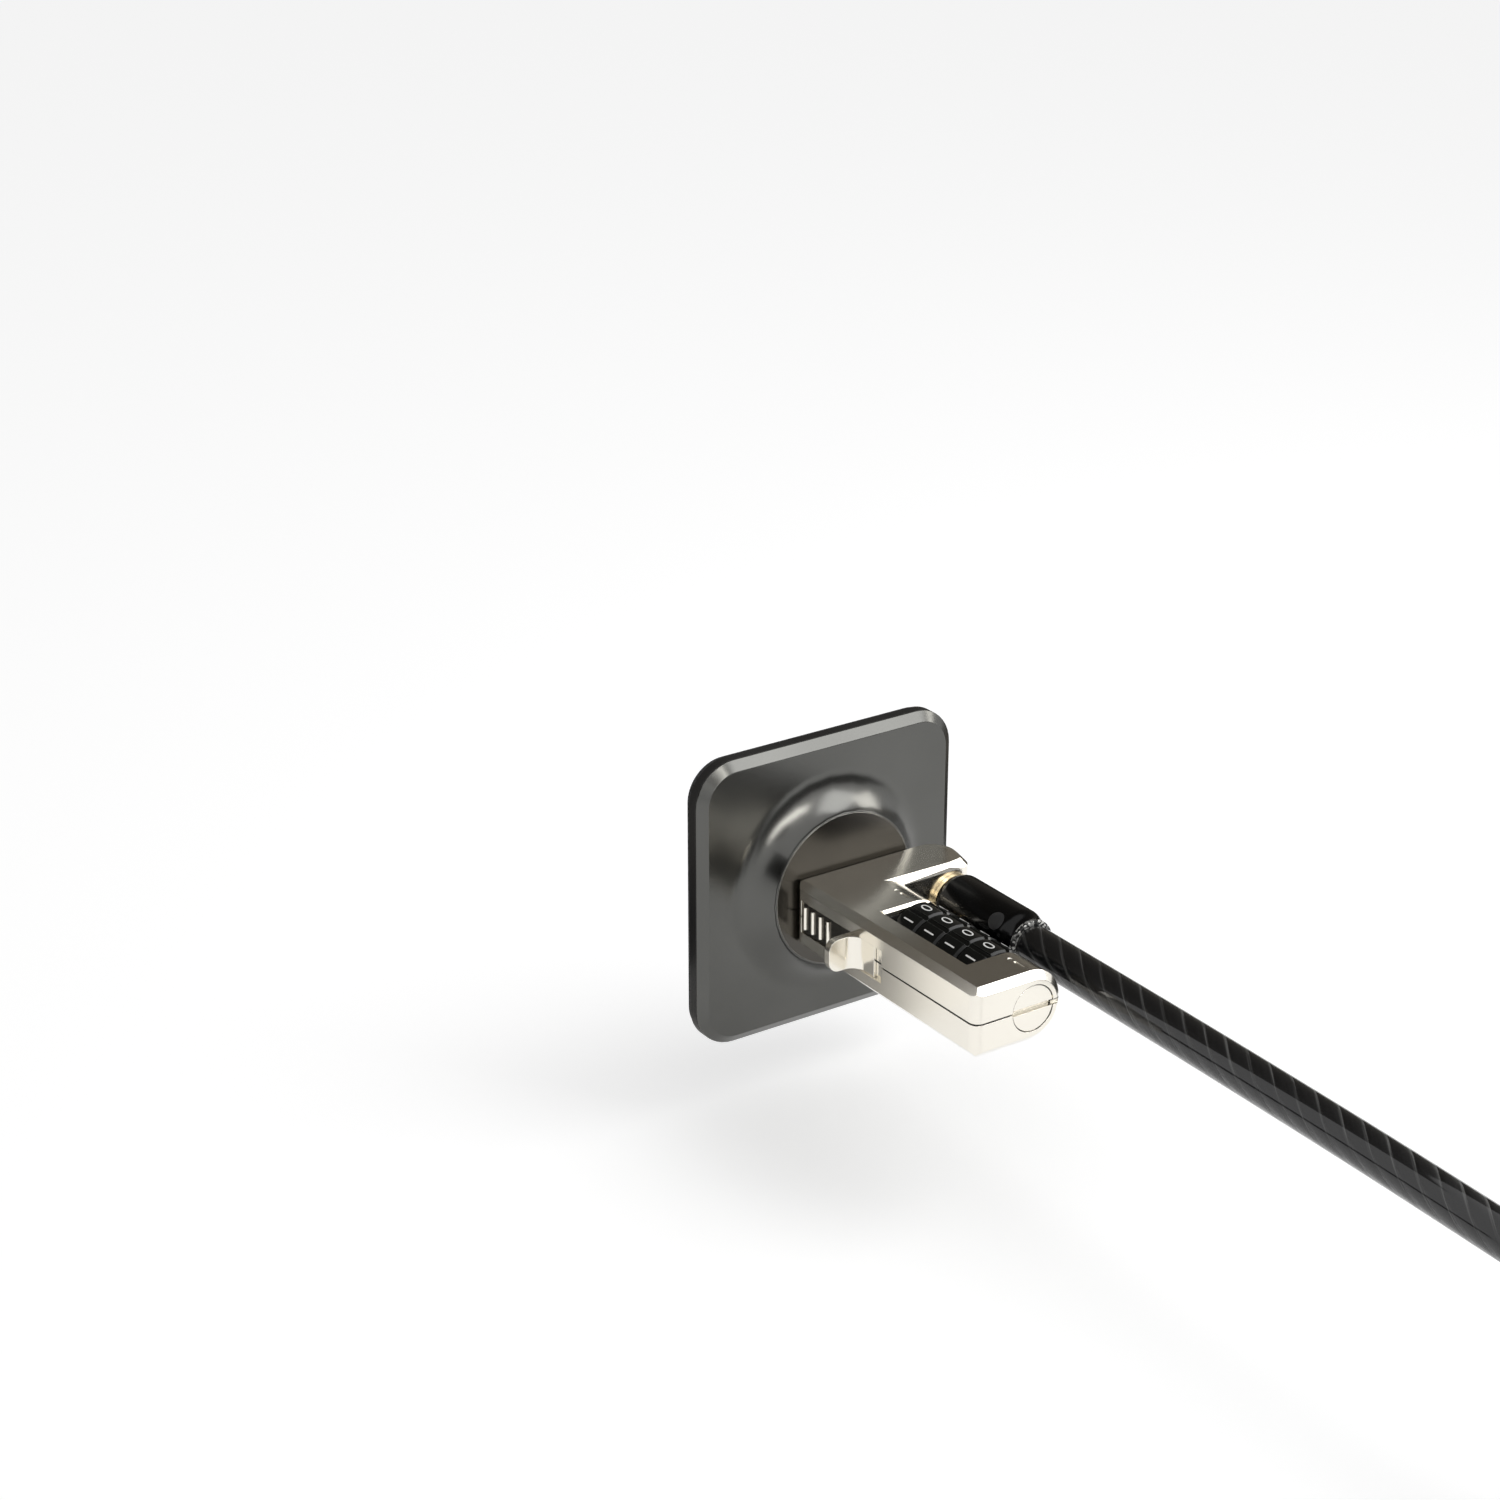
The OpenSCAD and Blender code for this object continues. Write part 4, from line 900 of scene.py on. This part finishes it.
def hank_points(settings, start):
    """The turns of the hank, from the run's last point, with four points to a station."""
    steps = 4
    points = []
    for turn in range(OUTER_TURNS + INNER_TURNS):
        first = FAR_FOLD if turn == 0 else 0
        marks = range(first * steps, TURN_END * steps)
        points += [hank_point(settings, turn, i / steps, start) for i in marks]
    points.append(hank_point(settings, OUTER_TURNS + INNER_TURNS - 1, TURN_END, start))
    return points


def smooth_path(points, steps):
    """A curve through the points, with steps stretches between each two."""
    path = []
    for i in range(len(points) - 1):
        b, c = points[i], points[i + 1]
        a = points[i - 1] if i else 2 * b - c
        d = points[i + 2] if i + 2 < len(points) else 2 * c - b
        for k in range(steps):
            t = k / steps
            path.append(0.5 * (2 * b + (c - a) * t + (2 * a - 5 * b + 4 * c - d) * t * t
                               + (3 * b - a - 3 * c + d) * t ** 3))
    path.append(points[-1])
    return path


def loop_frame():
    """Where the ferrule starts, and the directions along and beside it."""
    end = Vector(TAIL_POINTS[-1]) * MM
    along = (end - Vector(TAIL_POINTS[-2]) * MM).normalized()
    return end, along, along.cross(Vector((0, 0, 1)))


def cable_path(settings):
    run = [Vector(p) * MM for p in RUN_POINTS]
    tail = [Vector(p) * MM for p in TAIL_POINTS]
    end, along, beside = loop_frame()
    across = LOOP_POINTS[0][1] * MM
    loop = [end + along * (settings.ferrule_l + p[0] * MM) + beside * (p[1] * MM - across)
            for p in LOOP_POINTS]
    lead = along * (LOOP_POINTS[0][0] * MM)
    short_of_end = 4 * MM
    back = loop[-1] - along * (settings.ferrule_l - short_of_end)
    return (smooth_path(run, 6) + hank_points(settings, run[-1]) + smooth_path(tail, 4) + [loop[0] - lead]
            + smooth_path(loop, 6) + [back])


def spaced(path, step):
    """The same path with points one step apart."""
    points = [path[0]]
    left = step
    for a, b in zip(path, path[1:]):
        stretch = (b - a).length
        done = 0.0
        while stretch - done >= left:
            done += left
            points.append(a.lerp(b, done / stretch))
            left = step
        left -= stretch - done
    if (points[-1] - path[-1]).length > step / 4:
        points.append(path[-1])
    return points


def marks_along(path):
    """The distance along a path at each of its points."""
    marks = [0.0]
    for a, b in zip(path, path[1:]):
        marks.append(marks[-1] + (b - a).length)
    return marks


def heading_at(path, i):
    return (path[min(i + 1, len(path) - 1)] - path[max(i - 1, 0)]).normalized()


def grid_uvs(marks, across):
    """The UV corners of the faces between rings, from the places along and across them."""
    uvs = []
    for near, far in zip(marks, marks[1:]):
        for low, high in zip(across, across[1:]):
            uvs += [(near, low), (near, high), (far, high), (far, low)]
    return uvs


def tube_piece(name, path, radius, sides, material, body):
    """A round tube with flat ends. Its UV map holds the distance along and the share of a turn around it."""
    verts = []
    marks = marks_along(path)
    side = Vector((0, 0, 1))
    for i, p in enumerate(path):
        heading = heading_at(path, i)
        side = (side - heading * side.dot(heading)).normalized()
        other = side.cross(heading)
        verts += [p + radius * (c * side + s * other) for c, s in unit_circle(sides)]
    faces = ring_faces(len(path), sides)
    uvs = grid_uvs(marks, [k / sides for k in range(sides + 1)])
    for first, along in ((0, marks[0]), ((len(path) - 1) * sides, marks[-1])):
        faces.append(tuple(first + k for k in range(sides)))
        uvs += [(along, 0.0)] * sides
    return new_piece(name, verts, faces, material, body, uvs, sharp=60.0)


class LOCK_OT_cable(bpy.types.Operator):
    """Lay the sheathed cable along its run, its hank and its end loop, with the ferrule and the strap"""
    bl_idname = "lock.cable"
    bl_label = "Cable"

    def execute(self, context):
        settings = context.scene.lock_cable
        ring_gap = 3.0 * MM
        path = spaced(cable_path(settings), ring_gap)
        cable = tube_piece("sheathed_cable", path, CABLE_R, settings.sides, cable_sheath(settings), "root")
        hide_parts("cable_run", "cable_hank", "cable_tail", "cable_loop")
        ferrule = self.add_ferrule(settings)
        strap = self.add_strap(settings)
        return {"FINISHED"}

    def add_ferrule(self, settings):
        """A flattened ferrule with pressed bands, around the cable and the end of its loop."""
        end, along, beside = loop_frame()
        reach = abs(LOOP_POINTS[0][1]) * MM
        radius = CABLE_R + 0.9 * MM
        middle = end + beside * reach
        stations = 44
        steps = 12
        bands = 3
        press = 0.45 * MM
        rounding = 0.6 * MM
        verts = []
        for i in range(stations + 1):
            s = i / stations
            edge = min(s, 1 - s) * settings.ferrule_l
            r = radius - rounding * max(0.0, 1 - edge / rounding) ** 2
            if 0.12 < s < 0.88:
                r -= press * max(0.0, math.cos(2 * math.pi * bands * (s - 0.5))) ** 2
            for sign in (1, -1):
                for k in range(steps + 1):
                    a = math.radians(-90 + 180 * k / steps)
                    across = sign * (reach + r * math.cos(a))
                    up = sign * r * math.sin(a)
                    place = middle + along * (s * settings.ferrule_l) + beside * across
                    verts.append(place + Vector((0, 0, up)))
        count = 2 * (steps + 1)
        faces = ring_faces(stations + 1, count)
        for first in (0, stations * count):
            faces.append(tuple(first + k for k in range(count)))
        metal = Finish("ferrule_metal", (0.60, 0.60, 0.61), Metallic=1.0).satin(
            1800.0, 0.32, 0.07, 0.01 * MM, 0.08, 0.5, 0.3 * MM, (0.8, 0.8, 0.8)).material
        ferrule = new_piece("pressed_ferrule", verts, faces, metal, "root", sharp=50.0)
        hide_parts("loop_ferrule")
        return ferrule

    def add_strap(self, settings):
        """A woven strap round the left straights, whose free end lies over its start on top."""
        thick = 0.8 * MM
        corner = 4.1 * MM
        slack = 0.05 * MM
        left, right = TIE_LOW.x + slack, TIE_HIGH.x - slack
        low, high = TIE_LOW.z + slack, TIE_HIGH.z - slack
        tuck = 3 * MM
        corner_steps, top_steps = 8, 14
        line = [Vector((right - corner - tuck, high))]
        corners = ((left, high, 90), (left, low, 180), (right, low, 270), (right, high, 360))
        for cx, cz, first in corners:
            x = cx + corner if cx == left else cx - corner
            z = cz - corner if cz == high else cz + corner
            for k in range(corner_steps + 1):
                a = math.radians(first + 90 * k / corner_steps)
                line.append(Vector((x + corner * math.cos(a), z + corner * math.sin(a))))
        start = line[0].x
        last = line[-1]
        free_end = left + corner
        for k in range(1, top_steps + 1):
            x = last.x + (free_end - last.x) * k / top_steps
            rise = ease(min(max((start + tuck - x) / tuck, 0.0), 1.0))
            line.append(Vector((x, high + thick * 1.05 * rise)))
        return self.strap_piece(line, thick, settings)

    def strap_piece(self, line, thick, settings):
        """A flat band along a line in the XZ plane, whose inner face lies one thickness inside it."""
        middle = (TIE_HIGH.y + TIE_LOW.y) / 2
        half = (TIE_HIGH.y - TIE_LOW.y) / 2
        across = (0.0, 2 * half, 2 * half + thick, 4 * half + thick, 4 * half + 2 * thick)
        verts = []
        marks = marks_along(line)
        for i, p in enumerate(line):
            heading = heading_at(line, i)
            inner = p + Vector((-heading.y, heading.x)) * thick
            for y, q in ((-half, p), (half, p), (half, inner), (-half, inner)):
                verts.append((q.x, middle + y, q.y))
        faces = ring_faces(len(line), 4)
        uvs = grid_uvs(marks, across)
        for first, mark in ((0, marks[0]), ((len(line) - 1) * 4, marks[-1])):
            faces.append(tuple(first + k for k in range(4)))
            uvs += [(mark, 0.0), (mark, 2 * half), (mark + thick, 2 * half), (mark + thick, 0.0)]
        strap = new_piece("hank_strap", verts, faces, woven_strap(settings), "root", uvs)
        bevel(strap, 0.2 * MM, 2, 40.0)
        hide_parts("hank_tie")
        return strap


# ---------- inner pieces ----------

class LOCK_OT_works(bpy.types.Operator):
    """Finish the hook, the bar, the spindle, the pins and the springs inside the head"""
    bl_idname = "lock.works"
    bl_label = "Inner Works"

    def execute(self, context):
        steel = turned_metal("machined_steel", (0.56, 0.56, 0.57), 0.3)
        for node in ("shell_pins", "locking_hook", "locking_bar", "spindle"):
            paint(node, steel)
        spring = turned_metal("spring_steel", (0.60, 0.60, 0.60), 0.25)
        for node in ("slider_spring", "reset_spring", "dial_washer", "stud_clip"):
            paint(node, spring)
        return {"FINISHED"}


# ---------- studio ----------

def only_reflected(piece):
    """A card that neither the camera nor shadows see, but that shiny surfaces mirror."""
    for rays in ("camera", "diffuse", "shadow", "transmission", "volume_scatter"):
        setattr(piece, "visible_" + rays, False)


def glow(name, colour, strength=1.0):
    material = bpy.data.materials.new(name)
    material.use_nodes = True
    tree = material.node_tree
    tree.nodes.clear()
    light = add_node(tree, "ShaderNodeEmission", Color=(*colour, 1.0), Strength=strength)
    out = tree.nodes.new("ShaderNodeOutputMaterial")
    tree.links.new(light.outputs[0], out.inputs["Surface"])
    return material


def graded_glow(name, marks, tint, axis="Z"):
    """A glow whose strength follows one axis: pairs of place in metres and strength, lowest first."""
    material = glow(name, tint)
    tree = material.node_tree
    axes = split_axes(tree, tree.nodes.new("ShaderNodeTexCoord").outputs["Object"])
    strength = None
    for (low, before), (high, after) in zip(marks, marks[1:]):
        step = ramp(tree, axes[axis], low, high, before if strength is None else 0.0,
                    after if strength is None else after - before)
        strength = step if strength is None else math_node(tree, "ADD", strength, step)
    tree.links.new(strength, tree.nodes["Emission"].inputs["Strength"])
    return material


def card(name, corners, material):
    mesh = bpy.data.meshes.new(name)
    mesh.from_pydata(corners, [], [(0, 1, 2, 3)])
    mesh.materials.append(material)
    piece = add_object(name, mesh)
    return piece


def seen_rays(tree):
    """1 for camera, glossy and transmission rays, 0 for the rest."""
    path = tree.nodes.new("ShaderNodeLightPath")
    both = math_node(tree, "ADD", path.outputs["Is Camera Ray"], path.outputs["Is Glossy Ray"])
    return math_node(tree, "ADD", both, path.outputs["Is Transmission Ray"], clamp=True)


def soft_light(name, place, target, size, radiance):
    lamp = bpy.data.lights.new(name, "AREA")
    lamp.shape = "SQUARE"
    lamp.size = size
    lamp.energy = radiance * math.pi * size * size
    holder = add_object(name, lamp)
    holder.location = place
    holder.rotation_euler = (target - place).to_track_quat("-Z", "Y").to_euler()


CAMERA_PLACE = (-0.289854, -0.408789, 0.236738)
CAMERA_RIGHT = Vector((0.82788, -0.56084, 0.00144))
CAMERA_UP = Vector((0.22047, 0.32779, 0.91862))
KEY_HEADING = Vector((0.516, -0.395, 0.760))
KEY_DISTANCE, KEY_SIZE = 0.5, 0.30
FLOOR_HALF = 4.0
FLOOR_GLOW = 0.36


def upright(left, right, y, low, high):
    """The corners of a card that stands along X."""
    return [(left, y, low), (right, y, low), (right, y, high), (left, y, high)]


class LOCK_OT_stage(bpy.types.Operator):
    """Set up the camera, the pale floor and the soft studio light"""
    bl_idname = "lock.stage"
    bl_label = "Studio"

    def execute(self, context):
        settings = context.scene.lock_stage
        scene = context.scene
        scene.view_settings.view_transform = "Standard"
        self.add_camera(scene, settings)
        self.add_world(scene, settings)
        self.add_floor(settings)
        middle = Vector((0.0, -30 * MM, 0.0))
        soft_light("key_light", middle + KEY_HEADING * KEY_DISTANCE, middle, KEY_SIZE, settings.key)
        self.add_cards()
        return {"FINISHED"}

    def add_camera(self, scene, settings):
        camera = bpy.data.cameras.new("camera")
        camera.sensor_fit = "HORIZONTAL"
        camera.sensor_width = 36.0
        camera.lens = settings.lens
        camera.clip_start = 0.01
        holder = add_object("camera", camera)
        turn = Matrix((CAMERA_RIGHT, CAMERA_UP, CAMERA_RIGHT.cross(CAMERA_UP))).transposed().to_4x4()
        holder.matrix_world = Matrix.Translation(CAMERA_PLACE) @ turn
        scene.camera = holder

    def add_world(self, scene, settings):
        world = bpy.data.worlds.new("studio")
        world.use_nodes = True
        tree = world.node_tree
        shade = tree.nodes["Background"]
        shade.inputs["Color"].default_value = (1.0, 1.0, 1.0, 1.0)
        seen = seen_rays(tree)
        strength = ramp(tree, seen, 0.0, 1.0, settings.ambient, 1.0)
        tree.links.new(strength, shade.inputs["Strength"])
        scene.world = world

    def add_floor(self, settings):
        floor = Finish("pale_floor", settings.floor, Roughness=0.9, Specular_IOR_Level=0.0,
                       Emission_Color=(1.0, 1.0, 1.0, 1.0))
        floor.link(math_node(floor.tree, "MULTIPLY", seen_rays(floor.tree), FLOOR_GLOW), "Emission Strength")
        half = FLOOR_HALF
        z = DESK_Z - 0.05 * MM
        corners = [(-half, -half, z), (half, -half, z), (half, half, z), (-half, half, z)]
        card("floor", corners, floor.material)

    def add_cards(self):
        """Cards that only reflections show: a dark wall behind the plate, and what stands around it."""
        back, deck = 4 * MM, 0.25
        wall_foot = -13 * MM
        heights = ((-0.013, 0.030), (-0.002, 0.035), (0.010, 0.155), (0.022, 0.150), (0.035, 0.095),
                   (0.2, 0.08))
        places = ((-0.058, 1.25), (-0.047, 0.95), (-0.040, 0.35), (-0.034, 0.15), (-0.028, 0.55),
                  (-0.024, 0.9))
        pale = (1.0, 0.98, 0.94)
        wall = graded_glow("card_wall", heights, (1.0, 0.92, 0.80))
        skirt = graded_glow("card_skirt", places, pale, "X")
        black = glow("card_black", (0.012, 0.012, 0.011))
        dim = glow("card_dim", (0.10, 0.10, 0.097))
        bright = glow("card_bright", pale, 5.5)
        brighter = glow("card_brighter", pale, 9.0)
        cards = {
            "wall_card": (wall, upright(-51 * MM, 0.26, back, wall_foot, 0.2)),
            "skirt_card": (skirt, upright(-60 * MM, -22 * MM, back, DESK_Z, wall_foot)),
            "deck_card": (black, upright(-0.60, -0.04, deck, -0.03, 0.03)),
            "left_card": (black, [(-0.45, -0.50, 0.02), (-0.50, 0.10, 0.02), (-0.50, 0.10, 0.30),
                                  (-0.45, -0.50, 0.26)]),
            "front_card": (dim, [(-0.20, -0.62, 0.0), (0.60, -0.42, 0.0), (0.60, -0.42, 0.22),
                                 (-0.20, -0.62, 0.22)]),
            "upper_dark_card": (black, [(-0.15, -0.48, 0.22), (-0.215, -0.46, 0.21), (-0.21, -0.40, 0.30),
                                        (-0.10, -0.42, 0.33)]),
            "upper_left_card": (brighter, [(-0.17, -0.42, 0.13), (-0.10, -0.45, 0.13), (0.08, -0.37, 0.29),
                                           (0.03, -0.32, 0.34)]),
            "upper_right_card": (bright, [(0.42, -0.20, 0.15), (0.48, 0.02, 0.15), (0.44, 0.0, 0.32),
                                          (0.38, -0.18, 0.32)]),
        }
        for name, (material, corners) in cards.items():
            only_reflected(card(name, corners, material))


# ---------- panel and registration ----------

OPERATORS = (LOCK_OT_stage, LOCK_OT_cable, LOCK_OT_anchor_plate, LOCK_OT_head, LOCK_OT_dials, LOCK_OT_sleeve,
             LOCK_OT_works)
SETTINGS = {"lock_plate": PlateSettings, "lock_head": HeadSettings, "lock_cable": CableSettings,
            "lock_stage": StageSettings}


class LOCK_PT_panel(bpy.types.Panel):
    """Lists the lock's operators and settings"""
    bl_idname = "LOCK_PT_panel"
    bl_label = "Laptop Cable Lock"
    bl_space_type = "VIEW_3D"
    bl_region_type = "UI"
    bl_category = "Cable Lock"

    def draw(self, context):
        for operator in OPERATORS:
            self.layout.operator(operator.bl_idname)
        for name, group in SETTINGS.items():
            box = self.layout.box()
            for key in group.__annotations__:
                box.prop(getattr(context.scene, name), key)


CLASSES = (*SETTINGS.values(), *OPERATORS, LOCK_PT_panel)


def register():
    for cls in CLASSES:
        bpy.utils.register_class(cls)
    for name, group in SETTINGS.items():
        setattr(bpy.types.Scene, name, PointerProperty(type=group))


def unregister():
    for name in SETTINGS:
        delattr(bpy.types.Scene, name)
    for cls in reversed(CLASSES):
        bpy.utils.unregister_class(cls)


def main():
    register()
    for operator in OPERATORS:
        area, name = operator.bl_idname.split(".")
        getattr(getattr(bpy.ops, area), name)()


if __name__ == "__main__":
    main()
